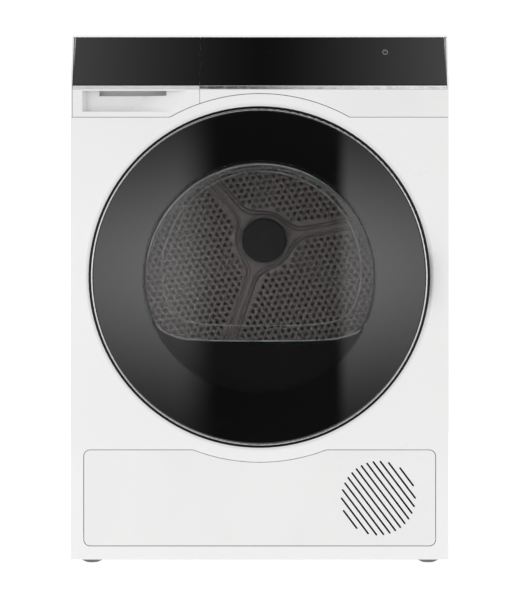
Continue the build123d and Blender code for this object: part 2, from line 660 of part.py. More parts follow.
with BuildPart() as door_inner_frame:
    disc(0, DOOR_Z, (FRONT_Y - 30.3, FRONT_Y - 1.5), DOOR_R - FRAME_WALL - 0.4)
    disc(0, DOOR_Z, (FRONT_Y - 31, FRONT_Y - 5.0), DOOR_R - FRAME_WALL - 4.0, mode=Mode.SUBTRACT)
    extrude(bowl_section(FRONT_Y - 6, BOWL_R + 1, BOWL_FLAT + 1, BOWL_CORNER), amount=-6,
            mode=Mode.SUBTRACT)
    cut_hinge_notches()
    slab((LATCH_X - 4.2, LATCH_X + 4.2), (FRONT_Y - 6, FRONT_Y), (DOOR_Z - 6.2, DOOR_Z + 6.2),
         mode=Mode.SUBTRACT)
    # Pocket for the hinge pin and its lugs.
    slab((HINGE_X - 14, HINGE_X + 10), (FRONT_Y - 31, FRONT_Y), (HINGE_EYE_Z[0] - 12, HINGE_EYE_Z[1] + 12),
         mode=Mode.SUBTRACT)
save(door_inner_frame, "door_inner_frame")

with BuildPart() as door_bowl:
    extrude(bowl_section(FRONT_Y - 9.0, BOWL_R + 7, BOWL_FLAT + 7, BOWL_CORNER), amount=-3.8)
    loft([bowl_section(FRONT_Y - 9.0, BOWL_R, BOWL_FLAT, BOWL_CORNER),
          bowl_section(FRONT_Y + BOWL_DEPTH, BOWL_END_R, BOWL_END_FLAT, BOWL_CORNER)])
    loft([bowl_section(FRONT_Y - 9.1, BOWL_R - BOWL_WALL, BOWL_FLAT - BOWL_WALL, BOWL_CORNER),
          bowl_section(FRONT_Y + BOWL_DEPTH - BOWL_WALL, BOWL_END_R - BOWL_WALL,
                       BOWL_END_FLAT - BOWL_WALL, BOWL_CORNER)], mode=Mode.SUBTRACT)
save(door_bowl, "door_bowl")

with BuildPart() as door_hook:
    slab((LATCH_X - 12, LATCH_X + 12), (FRONT_Y - 8.0, FRONT_Y - 5.0), (DOOR_Z - 16, DOOR_Z + 16))
    slab((LATCH_X - 4, LATCH_X + 4), (FRONT_Y - 5.0, FRONT_Y + 18), (DOOR_Z - 6, DOOR_Z + 6))
    slab((LATCH_X - 1, LATCH_X + 5), (FRONT_Y + 8.5, FRONT_Y + 13), (DOOR_Z - 7, DOOR_Z + 7),
         mode=Mode.SUBTRACT)
save(door_hook, "door_hook")

with BuildPart() as door_hinge:
    # Hinge plate inside the door, with lugs that carry the vertical pin.
    plate_z = (HINGE_EYE_Z[0] - 10, HINGE_EYE_Z[1] + 10)
    slab((HINGE_X - 62, HINGE_X - 16), (FRONT_Y - 20.0, FRONT_Y - 5.0), plate_z)
    slab((HINGE_X - 60, HINGE_X - 15), (FRONT_Y - 21.0, FRONT_Y - 8.0), (plate_z[0] - 1, plate_z[1] + 1),
         mode=Mode.SUBTRACT)
    slab((HINGE_X - 18, HINGE_X), (HINGE_Y - 4, HINGE_Y + 4), (HINGE_EYE_Z[0] + 9, HINGE_EYE_Z[1] - 9))
    slab((HINGE_X - 62, HINGE_X - 17), (HINGE_Y - 4, HINGE_Y + 4), (HINGE_EYE_Z[0] + 9, HINGE_EYE_Z[1] - 9))
    post(HINGE_X, HINGE_Y, (plate_z[0] + 1, plate_z[1] - 1), PIN_R)
save(door_hinge, "door_hinge")

with BuildPart() as hinge_bracket:
    # Fixed plate on the dish floor with two arms; each arm ends in an eye round the pin.
    slab((HINGE_X - 26, HINGE_X + 4), (FRONT_Y + 3.6, FRONT_Y + DISH_DEPTH),
         (HINGE_EYE_Z[0] - 14, HINGE_EYE_Z[1] + 14))
    for eye_z in HINGE_EYE_Z:
        half = EYE_HEIGHT / 2
        slab((HINGE_X - 2.5, HINGE_X + 2.5), (HINGE_Y, FRONT_Y + 4), (eye_z - half, eye_z + half))
        post(HINGE_X, HINGE_Y, (eye_z - half, eye_z + half), PIN_R + 3.0)
        post(HINGE_X, HINGE_Y, (eye_z - half - 1, eye_z + half + 1), PIN_R + PIN_FIT, mode=Mode.SUBTRACT)
    with BuildSketch(front_plane(FRONT_Y + 3.6)):
        with Locations([(HINGE_X - 18, z) for z in (HINGE_EYE_Z[0], HINGE_EYE_Z[1])]):
            Circle(4.5)
    extrude(amount=1.6)
save(hinge_bracket, "hinge_bracket")

with BuildPart() as door_seal:
    # Rubber lip ring on the dish floor round the loading port.
    ring(0, DOOR_Z, (FRONT_Y + 1.5, FRONT_Y + DISH_DEPTH), 222.0, 208.0)
    ring(0, DOOR_Z, (FRONT_Y - 1.0, FRONT_Y + 1.5), 217.0, 211.0)
    fillet(door_seal.edges().filter_by(GeomType.CIRCLE).group_by(Axis.Y)[0], 1.2)
save(door_seal, "door_seal")

with BuildPart() as door_latch:
    # Catch and switch body behind the front panel, with the pocket that takes the hook.
    slab((LATCH_X - 16, LATCH_X + 16), (FRONT_Y + DISH_DEPTH + SHEET, FRONT_Y + 30),
         (DOOR_Z - 22, DOOR_Z + 22))
    slab((LATCH_X - 9, LATCH_X + 9), (FRONT_Y + DISH_DEPTH, FRONT_Y + 26), (DOOR_Z - 12, DOOR_Z + 12),
         mode=Mode.SUBTRACT)
    slab((LATCH_X + 16, LATCH_X + 26), (FRONT_Y + 14, FRONT_Y + 26), (DOOR_Z - 8, DOOR_Z + 8))
save(door_latch, "door_latch")

# ================================ Drum and its supports ================================

with BuildPart() as drum_shell:
    ring(0, DRUM_Z, (DRUM_FRONT, DRUM_BACK), DRUM_R, DRUM_R - DRUM_WALL)
    # A stiffening bead each side of the belt.
    for bead_y in (BELT_Y - 20.0, BELT_Y + 20.0):
        ring(0, DRUM_Z, (bead_y - 2, bead_y + 2), DRUM_R + 1.5, DRUM_R)
save(drum_shell, "drum_shell")

with BuildPart() as drum_rear_wall:
    wall_r = DRUM_R - DRUM_WALL
    disc(0, DRUM_Z, (REAR_WALL_Y, REAR_WALL_Y + 1.5), wall_r)
    ring(0, DRUM_Z, (REAR_WALL_Y + 1.5, REAR_WALL_Y + 14), wall_r, wall_r - 1.5)
    # Three pressed spokes and the ring round the hub stand towards the front.
    with BuildSketch(front_plane(REAR_WALL_Y)):
        with Locations((0, DRUM_Z)):
            with PolarLocations(150.0, len(SPOKE_ANGLES), start_angle=SPOKE_ANGLES[0]):
                Rectangle(220.0, SPOKE_WIDTH)
            Circle(HUB_RING_R + 14)
    extrude(amount=6.0)
    disc(0, DRUM_Z, (REAR_WALL_Y - 7, REAR_WALL_Y + 2), SHAFT_R, mode=Mode.SUBTRACT)
save(drum_rear_wall, "drum_rear_wall")

with BuildPart() as drum_hub_cap:
    disc(0, DRUM_Z, (REAR_WALL_Y - 16, REAR_WALL_Y - 6), HUB_CAP_R)
    fillet(drum_hub_cap.faces().sort_by(Axis.Y)[0].edges(), 4.0)
save(drum_hub_cap, "drum_hub_cap")

LIFTER_HEIGHT = 45.0
LIFTER_BASE = 70.0
LIFTER_ANGLES = [angle + 60.0 for angle in SPOKE_ANGLES]

with BuildPart() as drum_lifters:
    # Hollow rounded paddles screwed to the inside of the drum.
    seat_r = DRUM_R - DRUM_WALL - 0.05
    with BuildSketch(front_plane(DRUM_FRONT + 45.0)) as paddle_ends:
        with Locations((0, DRUM_Z)):
            Circle(seat_r)
            Circle(seat_r - LIFTER_HEIGHT, mode=Mode.SUBTRACT)
        with BuildSketch(mode=Mode.PRIVATE) as wedges:
            with Locations((0, DRUM_Z)):
                with PolarLocations(seat_r - LIFTER_HEIGHT / 2, 3, start_angle=LIFTER_ANGLES[0]):
                    Trapezoid(LIFTER_BASE, LIFTER_HEIGHT + 12, 68, rotation=90)
        add(wedges.sketch_local, mode=Mode.INTERSECT)
        fillet(paddle_ends.vertices().sort_by(lambda v: (v.X ** 2 + (v.Y - DRUM_Z) ** 2))[:6], 9.0)
    extrude(amount=-370.0)
save(drum_lifters, "drum_lifters")

BEARING_BORE = SHAFT_R - 4.0 + 0.05

with BuildPart() as drum_shaft:
    # Flange behind the wall, journal in the bearing, spigot in the wall's hole.
    disc(0, DRUM_Z, (REAR_WALL_Y + 1.5, REAR_WALL_Y + 5.5), 48.0)
    disc(0, DRUM_Z, (REAR_WALL_Y - 5.9, REAR_WALL_Y + 1.5), SHAFT_R)
    disc(0, DRUM_Z, (REAR_WALL_Y + 5.5, REAR_BULKHEAD_Y + 26), SHAFT_R - 4.0)
save(drum_shaft, "drum_shaft")

with BuildPart() as drum_bearing:
    # Flanged sintered bush in the rear bulkhead.
    disc(0, DRUM_Z, (REAR_BULKHEAD_Y - 6, REAR_BULKHEAD_Y + 22), 22.0)
    disc(0, DRUM_Z, (REAR_BULKHEAD_Y + 4, REAR_BULKHEAD_Y + 8), 40.0)
    disc(0, DRUM_Z, (REAR_BULKHEAD_Y - 7, REAR_BULKHEAD_Y + 23), BEARING_BORE, mode=Mode.SUBTRACT)
save(drum_bearing, "drum_bearing")

REAR_BULKHEAD_Z = (235.0, 812.0)

with BuildPart() as rear_bulkhead:
    bulk_half = INNER_W - 1.2
    with BuildSketch(front_plane(REAR_BULKHEAD_Y)):
        with Locations((0, (REAR_BULKHEAD_Z[0] + REAR_BULKHEAD_Z[1]) / 2)):
            Rectangle(2 * bulk_half, REAR_BULKHEAD_Z[1] - REAR_BULKHEAD_Z[0])
        with Locations((0, DRUM_Z)):
            Circle(22.1, mode=Mode.SUBTRACT)
            # Hot air openings between three struts.
            Circle(215.0, mode=Mode.SUBTRACT)
            Circle(70.0)
            Circle(22.1, mode=Mode.SUBTRACT)
            with PolarLocations(140.0, 3, start_angle=90.0):
                Rectangle(170.0, 42.0)
        with Locations((-276.0, 785.0)):
            Rectangle(50.0, 70.0, mode=Mode.SUBTRACT)
    extrude(amount=-4.0)
save(rear_bulkhead, "rear_bulkhead")


def roller_place(side):
    """Centre of a support roller under the front rim of the drum."""
    reach = DRUM_R + ROLLER_R + RUN_GAP
    angle = math.radians(ROLLER_ANGLE)
    return (side * reach * math.sin(angle), DRUM_Z - reach * math.cos(angle))


ROLLER_AXLE_R = 5.0

with BuildPart() as front_bulkhead:
    bulk_half = INNER_W - 1.2
    bulk_back = BULKHEAD_Y + BULKHEAD_THICK
    # Wall across the cabinet with the round loading port and its forward collar.
    slab((-bulk_half, bulk_half), (BULKHEAD_Y, bulk_back), (DUCT_TOP + 2, 812.0))
    slab((-INNER_W, -92.0), (BULKHEAD_Y - 1, bulk_back + 1), (700.0, 813.0), mode=Mode.SUBTRACT)
    ring(0, DOOR_Z, (FRONT_Y + 12, BULKHEAD_Y), PORT_R + 3, PORT_R)
    ring(0, DRUM_Z, (bulk_back, FRONT_Y + 125), COLLAR_R, COLLAR_R - 4)
    disc(0, DOOR_Z, (BULKHEAD_Y - 1, bulk_back + 1), PORT_R, mode=Mode.SUBTRACT)
    # Chin with the lint filter's pocket and the air chute that leads down to the base.
    slab((-FILTER_HALF_W - 6, FILTER_HALF_W + 6), (BULKHEAD_Y, FRONT_Y + 101),
         (FILTER_BOTTOM - 8, FILTER_TOP + 2))
    slab((-FILTER_HALF_W - 2, FILTER_HALF_W + 2), (FRONT_Y + 64, FRONT_Y + 98.5),
         (FILTER_BOTTOM - 4, FILTER_TOP + 3),
         mode=Mode.SUBTRACT)
    slab(CHUTE_X, (BULKHEAD_Y + 3, FRONT_Y + 101), (DUCT_TOP, FILTER_BOTTOM - 8))
    slab((CHUTE_X[0] + 3, CHUTE_X[1] - 3), (FRONT_Y + 66, FRONT_Y + 98), (DUCT_TOP - 1, FILTER_BOTTOM - 3),
         mode=Mode.SUBTRACT)
    for side in (-1, 1):
        roller_x, roller_z = roller_place(side)
        disc(roller_x, roller_z, (bulk_back, ROLLER_Y - 2), 12.0)
        disc(roller_x, roller_z, (ROLLER_Y - 2, ROLLER_Y + ROLLER_WIDTH + 6), ROLLER_AXLE_R)
save(front_bulkhead, "front_bulkhead")

with BuildPart() as drum_seals:
    # Felt rings: one round the front collar, one between the drum's back rim and the bulkhead.
    ring(0, DRUM_Z, (FRONT_Y + 108, FRONT_Y + 124), DRUM_R - DRUM_WALL - RUN_GAP, COLLAR_R)
    ring(0, DRUM_Z, (DRUM_BACK + RUN_GAP, REAR_BULKHEAD_Y), DRUM_R - 3, DRUM_R - 20)
save(drum_seals, "drum_seals")


def roller(side):
    roller_x, roller_z = roller_place(side)
    disc(roller_x, roller_z, (ROLLER_Y, ROLLER_Y + ROLLER_WIDTH), ROLLER_R)
    ring(roller_x, roller_z, (ROLLER_Y - 0.1, ROLLER_Y + 3), ROLLER_R - 4, 10.0, mode=Mode.SUBTRACT)
    ring(roller_x, roller_z, (ROLLER_Y + ROLLER_WIDTH - 3, ROLLER_Y + ROLLER_WIDTH + 0.1),
         ROLLER_R - 4, 10.0,
         mode=Mode.SUBTRACT)
    disc(roller_x, roller_z, (ROLLER_Y - 1, ROLLER_Y + ROLLER_WIDTH + 1), ROLLER_AXLE_R + 0.06,
         mode=Mode.SUBTRACT)


with BuildPart() as roller_left:
    roller(-1)
save(roller_left, "roller_left")

with BuildPart() as roller_right:
    roller(1)
save(roller_right, "roller_right")

# ================================ Drive ================================


def belt_loop(y, grow):
    """Hull of the drum and the motor pulley, both made larger by grow."""
    with BuildSketch(front_plane(y)) as loop:
        with BuildSketch(mode=Mode.PRIVATE) as wheels:
            with Locations((0, DRUM_Z)):
                Circle(DRUM_R + RUN_GAP + grow)
            with Locations((MOTOR_X, MOTOR_Z)):
                Circle(PULLEY_R + RUN_GAP + grow)
        make_hull(wheels.sketch_local.edges())
    return loop.sketch


with BuildPart() as drum_belt:
    extrude(belt_loop(BELT_Y - BELT_WIDTH / 2, BELT_THICK), amount=-BELT_WIDTH)
    extrude(belt_loop(BELT_Y - BELT_WIDTH / 2 - 1, 0), amount=-(BELT_WIDTH + 2), mode=Mode.SUBTRACT)
save(drum_belt, "drum_belt")

MOTOR_SPAN = (FRONT_Y + 345.0, FRONT_Y + 455.0)
ROTOR_R = 6.0

with BuildPart() as motor:
    disc(MOTOR_X, MOTOR_Z, MOTOR_SPAN, 52.0)
    for cap_y in (MOTOR_SPAN[0] + 7.0, MOTOR_SPAN[1] - 19.0):
        disc(MOTOR_X, MOTOR_Z, (cap_y, cap_y + 12.0), 55.0)
    fillet(motor.edges().filter_by(GeomType.CIRCLE).group_by(Axis.Y)[0], 6.0)
    disc(MOTOR_X, MOTOR_Z, (MOTOR_SPAN[0] - 1, MOTOR_SPAN[1] + 1), ROTOR_R + 0.06, mode=Mode.SUBTRACT)
    # Run capacitor strapped to the side of the motor.
    disc(MOTOR_X + 60, MOTOR_Z - 60, (MOTOR_SPAN[0] + 20, MOTOR_SPAN[1] - 25), 16.0)
    slab((MOTOR_X + 36, MOTOR_X + 54), (MOTOR_SPAN[0] + 45, MOTOR_SPAN[0] + 60),
         (MOTOR_Z - 52, MOTOR_Z - 36))
save(motor, "motor")

with BuildPart() as motor_shaft:
    disc(MOTOR_X, MOTOR_Z, (BELT_Y - 9, FRONT_Y + 545), ROTOR_R)
    disc(MOTOR_X, MOTOR_Z, (BELT_Y - 6, BELT_Y + 6), PULLEY_R)
    disc(MOTOR_X, MOTOR_Z, (BELT_Y - 8, BELT_Y - 6), PULLEY_R + 3)
    disc(MOTOR_X, MOTOR_Z, (BELT_Y + 6, BELT_Y + 8), PULLEY_R + 3)
save(motor_shaft, "motor_shaft")

FAN_FRONT = FRONT_Y + 500.0
FAN_BACK = FRONT_Y + 549.0
FAN_R = 78.0

with BuildPart() as blower_wheel:
    # Squirrel cage wheel: back plate, hub and a ring of blades with a front shroud ring.
    disc(MOTOR_X, MOTOR_Z, (FAN_BACK - 10, FAN_BACK - 7), FAN_R)
    disc(MOTOR_X, MOTOR_Z, (FAN_FRONT + 12, FAN_BACK - 10), 13.0)
    ring(MOTOR_X, MOTOR_Z, (FAN_FRONT + 4, FAN_FRONT + 6), FAN_R, FAN_R - 16)
    with BuildSketch(front_plane(FAN_FRONT + 6)):
        with Locations((MOTOR_X, MOTOR_Z)):
            with PolarLocations(FAN_R - 8, 28):
                Rectangle(13.0, 1.6, rotation=35)
    extrude(amount=-(FAN_BACK - FAN_FRONT - 16))
    disc(MOTOR_X, MOTOR_Z, (FAN_FRONT, FAN_BACK), ROTOR_R, mode=Mode.SUBTRACT)
save(blower_wheel, "blower_wheel")

with BuildPart() as fan_housing:
    # Scroll case whose outlet points up behind the rear bulkhead.
    with BuildSketch(front_plane(FAN_FRONT - 2.5)) as scroll:
        with Locations((MOTOR_X, MOTOR_Z)):
            Circle(92.0)
        with Locations((MOTOR_X + 46, MOTOR_Z + 56)):
            Rectangle(92.0, 112.0)
    extrude(amount=-(FAN_BACK - FAN_FRONT + 5))
    with BuildSketch(front_plane(FAN_FRONT)) as scroll_inside:
        with Locations((MOTOR_X, MOTOR_Z)):
            Circle(89.5)
        with Locations((MOTOR_X + 46, MOTOR_Z + 58)):
            Rectangle(87.0, 118.0)
    extrude(amount=-(FAN_BACK - FAN_FRONT), mode=Mode.SUBTRACT)
    disc(MOTOR_X, MOTOR_Z, (FAN_FRONT - 3, FAN_FRONT + 1), 48.0, mode=Mode.SUBTRACT)
    slab((MOTOR_X + 4, MOTOR_X + 88), (FAN_BACK - 1, FAN_BACK + 4), (MOTOR_Z + 70, MOTOR_Z + 108),
         mode=Mode.SUBTRACT)
save(fan_housing, "fan_housing")

# The idler presses the belt's slack side from outside, close above the motor pulley.
BELT_ANGLE = math.atan2(MOTOR_X, DRUM_Z - MOTOR_Z)
CENTRE_GAP = math.hypot(MOTOR_X, DRUM_Z - MOTOR_Z)
BELT_CONE = math.asin((DRUM_R - PULLEY_R) / CENTRE_GAP)
SPAN_NORMAL = BELT_CONE - BELT_ANGLE
IDLER_UP = 78.0
idler_off = PULLEY_R + BELT_THICK + 2 * RUN_GAP + IDLER_R
IDLER_X = MOTOR_X + idler_off * math.cos(SPAN_NORMAL) + IDLER_UP * math.sin(SPAN_NORMAL)
IDLER_Z = MOTOR_Z - idler_off * math.sin(SPAN_NORMAL) + IDLER_UP * math.cos(SPAN_NORMAL)
ARM_THICK = 3.0
IDLER_AXLE_R = 4.0
SPRING_X = 126.0
SPRING_Z = (30.0, 54.0)
SPRING_R = 5.0
WIRE_R = 0.8

with BuildPart() as idler_arm:
    # Bell crank: long leg to the idler pulley, short leg to the tension spring.
    with BuildSketch(front_plane(ARM_Y)) as arm_shape:
        with BuildSketch(mode=Mode.PRIVATE) as long_leg:
            with Locations((ARM_X, ARM_Z)):
                Circle(13.0)
            with Locations((IDLER_X, IDLER_Z)):
                Circle(9.0)
        make_hull(long_leg.sketch_local.edges())
        with Locations(((SPRING_X + ARM_X) / 2, ARM_Z)):
            SlotOverall(ARM_X - SPRING_X + 16, 12.0)
        with Locations((ARM_X, ARM_Z)):
            Circle(ARM_PIN_R + 0.06, mode=Mode.SUBTRACT)
    extrude(amount=-ARM_THICK)
    disc(IDLER_X, IDLER_Z, (BELT_Y - 8, ARM_Y), IDLER_AXLE_R)
save(idler_arm, "idler_arm")

with BuildPart() as idler_pulley:
    disc(IDLER_X, IDLER_Z, (BELT_Y - 7, BELT_Y + 7), IDLER_R)
    ring(IDLER_X, IDLER_Z, (BELT_Y - 7, BELT_Y - 4), IDLER_R - 4, 8.0, mode=Mode.SUBTRACT)
    disc(IDLER_X, IDLER_Z, (BELT_Y - 8, BELT_Y + 8), IDLER_AXLE_R + 0.06, mode=Mode.SUBTRACT)
save(idler_pulley, "idler_pulley")

with BuildPart() as tension_spring:
    with BuildLine(Plane(origin=(SPRING_X, ARM_Y + 1.5, SPRING_Z[0]))) as coil:
        Helix(pitch=3.0, height=SPRING_Z[1] - SPRING_Z[0] - 2 * WIRE_R, radius=SPRING_R)
    with BuildSketch(Plane(origin=coil.line @ 0, z_dir=coil.line % 0)):
        Circle(WIRE_R)
    sweep(is_frenet=True)
save(tension_spring, "tension_spring")

# ================================ Heat pump and air path ================================

COIL_X = (DUCT_LEFT + 4.0, DUCT_RIGHT - DUCT_WALL - 4.0)
COIL_Z = (FLOOR_TOP + 6.0, DUCT_TOP - DUCT_WALL - 4.0)
EVAPORATOR_Y = (FRONT_Y + 62.0, FRONT_Y + 192.0)
CONDENSER_Y = (FRONT_Y + 214.0, FRONT_Y + 402.0)
FIN_PITCH = 10.0
FIN_THICK = 1.0
TUBE_R = 4.5


def finned_coil(y_span, tube_rows):
    """Stack of fins on rows of tubes that run across the duct."""
    fin_count = int((COIL_X[1] - COIL_X[0] - 8) / FIN_PITCH) + 1
    first = (COIL_X[0] + COIL_X[1]) / 2 - FIN_PITCH * (fin_count - 1) / 2
    middle = ((y_span[0] + y_span[1]) / 2, (COIL_Z[0] + COIL_Z[1]) / 2)
    with Locations([(first + FIN_PITCH * fin, middle[0], middle[1]) for fin in range(fin_count)]):
        Box(FIN_THICK, y_span[1] - y_span[0], COIL_Z[1] - COIL_Z[0])
    tube_z = [COIL_Z[0] + (COIL_Z[1] - COIL_Z[0]) * (row + 0.5) / 4 for row in range(4)]
    tube_y = [y_span[0] + (y_span[1] - y_span[0]) * (row + 0.5) / tube_rows for row in range(tube_rows)]
    with BuildSketch(Plane.YZ.offset(COIL_X[0])) as tubes:
        with Locations([(y, z) for y in tube_y for z in tube_z]):
            Circle(TUBE_R)
    extrude(tubes.sketch, amount=COIL_X[1] - COIL_X[0])


with BuildPart() as exchanger_coils:
    finned_coil(EVAPORATOR_Y, 3)
    finned_coil(CONDENSER_Y, 4)
save(exchanger_coils, "exchanger_coils")

with BuildPart() as exchanger_cover:
    # Removable front cover of the air duct: plate, stiff rim and moulded grip bar.
    cover_x = (DUCT_LEFT + 17, DUCT_RIGHT - 12)
    cover_z = (42.0, 172.0)
    cover_y = FRONT_Y + 22.0
    with BuildSketch(front_plane(cover_y)):
        with Locations(((cover_x[0] + cover_x[1]) / 2, (cover_z[0] + cover_z[1]) / 2)):
            RectangleRounded(cover_x[1] - cover_x[0], cover_z[1] - cover_z[0], 12.0)
    extrude(amount=-11.6)
    with BuildSketch(front_plane(cover_y + 3.0)):
        with Locations(((cover_x[0] + cover_x[1]) / 2, (cover_z[0] + cover_z[1]) / 2)):
            RectangleRounded(cover_x[1] - cover_x[0] - 8, cover_z[1] - cover_z[0] - 8, 9.0)
    extrude(amount=-9.0, mode=Mode.SUBTRACT)
    slab((-180.0, -110.0), (FRONT_Y + 13, cover_y), (100.0, 114.0))
    slab((-176.0, -114.0), (FRONT_Y + 16, cover_y), (99.0, 110.0), mode=Mode.SUBTRACT)
save(exchanger_cover, "exchanger_cover")

LATCH_PLACES = (DUCT_LEFT + 37, DUCT_RIGHT - 32)
LATCH_Z = 107.0


def cover_latch(x):
    """Quarter turn lever of the exchanger cover."""
    disc(x, LATCH_Z, (FRONT_Y + 14, FRONT_Y + 21.7), 9.0)
    with BuildSketch(front_plane(FRONT_Y + 11)) as lever:
        with Locations((x, LATCH_Z)):
            SlotOverall(44.0, 11.0, rotation=90)
    extrude(lever.sketch, amount=-4.0)


with BuildPart() as cover_latch_left:
    cover_latch(LATCH_PLACES[0])
save(cover_latch_left, "cover_latch_left")

with BuildPart() as cover_latch_right:
    cover_latch(LATCH_PLACES[1])
save(cover_latch_right, "cover_latch_right")

with BuildPart() as compressor:
    with BuildSketch(Plane.XY.offset(40.0)):
        with Locations((COMPRESSOR_X, COMPRESSOR_Y)):
            Circle(COMPRESSOR_R)
    extrude(amount=168.0)
    fillet(compressor.edges().filter_by(GeomType.CIRCLE), 24.0)
    # Foot plate on three rubber mounts, and the accumulator bottle beside the shell.
    with BuildSketch(Plane.XY.offset(38.0)):
        with Locations((COMPRESSOR_X, COMPRESSOR_Y)):
            RegularPolygon(66.0, 3, rotation=90)
            Circle(30.0)
    extrude(amount=3.0)
    with BuildSketch(Plane.XY.offset(FLOOR_TOP)):
        with Locations((COMPRESSOR_X, COMPRESSOR_Y)):
            with PolarLocations(52.0, 3, start_angle=90):
                Circle(8.0)
    extrude(amount=13.0)
save(compressor, "compressor")

PIPE_Z = 224.0


def pipe(points):
    """Copper pipe along a route with bends of 12 mm."""
    with BuildLine() as route:
        FilletPolyline(*points, radius=12.0)
    with BuildSketch(Plane(origin=route.line @ 0, z_dir=route.line % 0)) as bore:
        Circle(PIPE_R)
    sweep(bore.sketch, path=route.line)


with BuildPart() as refrigerant_pipes:
    shell_top = 204.0
    coil_top = COIL_Z[1]
    pipe([(COMPRESSOR_X, PIPE_ENTRY_Y[1], shell_top + 4), (COMPRESSOR_X, PIPE_ENTRY_Y[1], PIPE_Z),
          (PIPE_ENTRY_X, PIPE_ENTRY_Y[1], PIPE_Z), (PIPE_ENTRY_X, PIPE_ENTRY_Y[1], coil_top)])
    pipe([(COMPRESSOR_X - 22, COMPRESSOR_Y + 8, shell_top + 4),
          (COMPRESSOR_X - 22, COMPRESSOR_Y + 8, PIPE_Z - 1),
          (COMPRESSOR_X - 22, PIPE_ENTRY_Y[0], PIPE_Z - 1), (PIPE_ENTRY_X, PIPE_ENTRY_Y[0], PIPE_Z - 1),
          (PIPE_ENTRY_X, PIPE_ENTRY_Y[0], coil_top)])
save(refrigerant_pipes, "refrigerant_pipes")

PUMP_X = -262.0
HOSE_Y = FRONT_Y + 577.0
HOSE_R = 7.5

with BuildPart() as condensate_pump:
    # Sump body with the pump motor on top, its outlet stub, and the drain spigot on the back.
    slab((PUMP_X - 20, PUMP_X + 60), (FRONT_Y + 520, FRONT_Y + 594), (FLOOR_TOP, 60.0))
    post(PUMP_X + 32, FRONT_Y + 556, (60.0, 104.0), 22.0)
    post(PUMP_X, HOSE_Y, (60.0, 76.0), HOSE_R)
    disc(SPIGOT_X, SPIGOT_Z, (BACK_Y - 14, BACK_Y + 1.5), 7.3)
    disc(SPIGOT_X, SPIGOT_Z, (BACK_Y + 1.5, BACK_Y + 15.5), 8.0)
    disc(SPIGOT_X, SPIGOT_Z, (BACK_Y - 6, BACK_Y - SHEET), 13.0)
    disc(SPIGOT_X, SPIGOT_Z, (BACK_Y - 15, BACK_Y + 16), 5.0, mode=Mode.SUBTRACT)
save(condensate_pump, "condensate_pump")

with BuildPart() as pump_hose:
    with BuildLine() as hose_route:
        FilletPolyline((PUMP_X, HOSE_Y, 76.0), (PUMP_X, HOSE_Y, 770.0),
                       (PUMP_X, TANK_BACK_Y + 24, 770.0), radius=35.0)
    with BuildSketch(Plane.XY.offset(76.0)):
        with Locations((PUMP_X, HOSE_Y)):
            Circle(HOSE_R)
            Circle(HOSE_R - 2.0, mode=Mode.SUBTRACT)
    sweep(path=hose_route.line)
save(pump_hose, "pump_hose")

COOLER_HALF = 66.0
COOLER_Y = (FRONT_Y + 40.0, FRONT_Y + 66.0)

with BuildPart() as cooling_fan_housing:
    with BuildSketch(front_plane(COOLER_Y[0])):
        with Locations((GRILLE_X, GRILLE_Z)):
            RectangleRounded(2 * COOLER_HALF, 2 * COOLER_HALF, 10.0)
            Circle(COOLER_HALF - 4, mode=Mode.SUBTRACT)
    extrude(amount=-(COOLER_Y[1] - COOLER_Y[0]))
    with BuildSketch(front_plane(COOLER_Y[1] - 3)):
        with Locations((GRILLE_X, GRILLE_Z)):
            Circle(18.0)
            with PolarLocations(COOLER_HALF / 2 + 1, 3, start_angle=30):
                Rectangle(COOLER_HALF, 8.0)
    extrude(amount=-3.0)
    disc(GRILLE_X, GRILLE_Z, (COOLER_Y[0] + 5, COOLER_Y[1] - 3), 3.0)
    slab((GRILLE_X - 50, GRILLE_X + 50), COOLER_Y, (FLOOR_TOP, GRILLE_Z - COOLER_HALF))
save(cooling_fan_housing, "cooling_fan_housing")

with BuildPart() as cooling_fan_rotor:
    disc(GRILLE_X, GRILLE_Z, (COOLER_Y[0] + 2, COOLER_Y[1] - 5), 20.0)
    with BuildSketch(front_plane(COOLER_Y[0] + 6)):
        with Locations((GRILLE_X, GRILLE_Z)):
            with PolarLocations(38.0, 7):
                SlotOverall(40.0, 20.0, rotation=18)
            Circle(COOLER_HALF - 7, mode=Mode.INTERSECT)
    extrude(amount=-3.0)
    disc(GRILLE_X, GRILLE_Z, (COOLER_Y[0] + 5, COOLER_Y[1]), 3.06, mode=Mode.SUBTRACT)
save(cooling_fan_rotor, "cooling_fan_rotor")

# ================================ Service flap ================================


def grille_slots():
    """Parallel slots whose ends lie on a circle."""
    across = math.radians(SLOT_ANGLE + 90)
    for slot in range(SLOT_COUNT):
        offset_d = (slot - (SLOT_COUNT - 1) / 2) * SLOT_PITCH
        length = 2 * math.sqrt(GRILLE_R ** 2 - offset_d ** 2)
        with Locations((GRILLE_X + offset_d * math.cos(across), GRILLE_Z + offset_d * math.sin(across))):
            SlotOverall(length, SLOT_WIDTH, rotation=SLOT_ANGLE, mode=Mode.SUBTRACT)


with BuildPart() as service_flap:
    with BuildSketch(front_plane(FRONT_Y)):
        panel_outline(0)
        grille_slots()
    extrude(amount=-FLAP_THICK)
    bottom_edge = service_flap.faces().sort_by(Axis.Y)[0].edges().group_by(Axis.Z)[0]
    fillet(bottom_edge, 1.2)
    # Stiffening ribs on the back and the two hinge pins at the bottom corners.
    for rib_x in (-FLAP_HALF_W + 8, -90.0, 90.0, FLAP_HALF_W - 8):
        slab((rib_x - 1.5, rib_x + 1.5), (FRONT_Y + FLAP_THICK, FRONT_Y + 8), (48.0, 160.0))
    for side in (-1, 1):
        pin_x = sorted((side * (FLAP_HALF_W - 14), side * (FLAP_HALF_W + 4.0)))
        with BuildSketch(Plane.YZ.offset(pin_x[0])):
            with Locations((FLAP_AXIS_Y, FLAP_AXIS_Z)):
                Circle(FLAP_PIN_R)
        extrude(amount=pin_x[1] - pin_x[0])
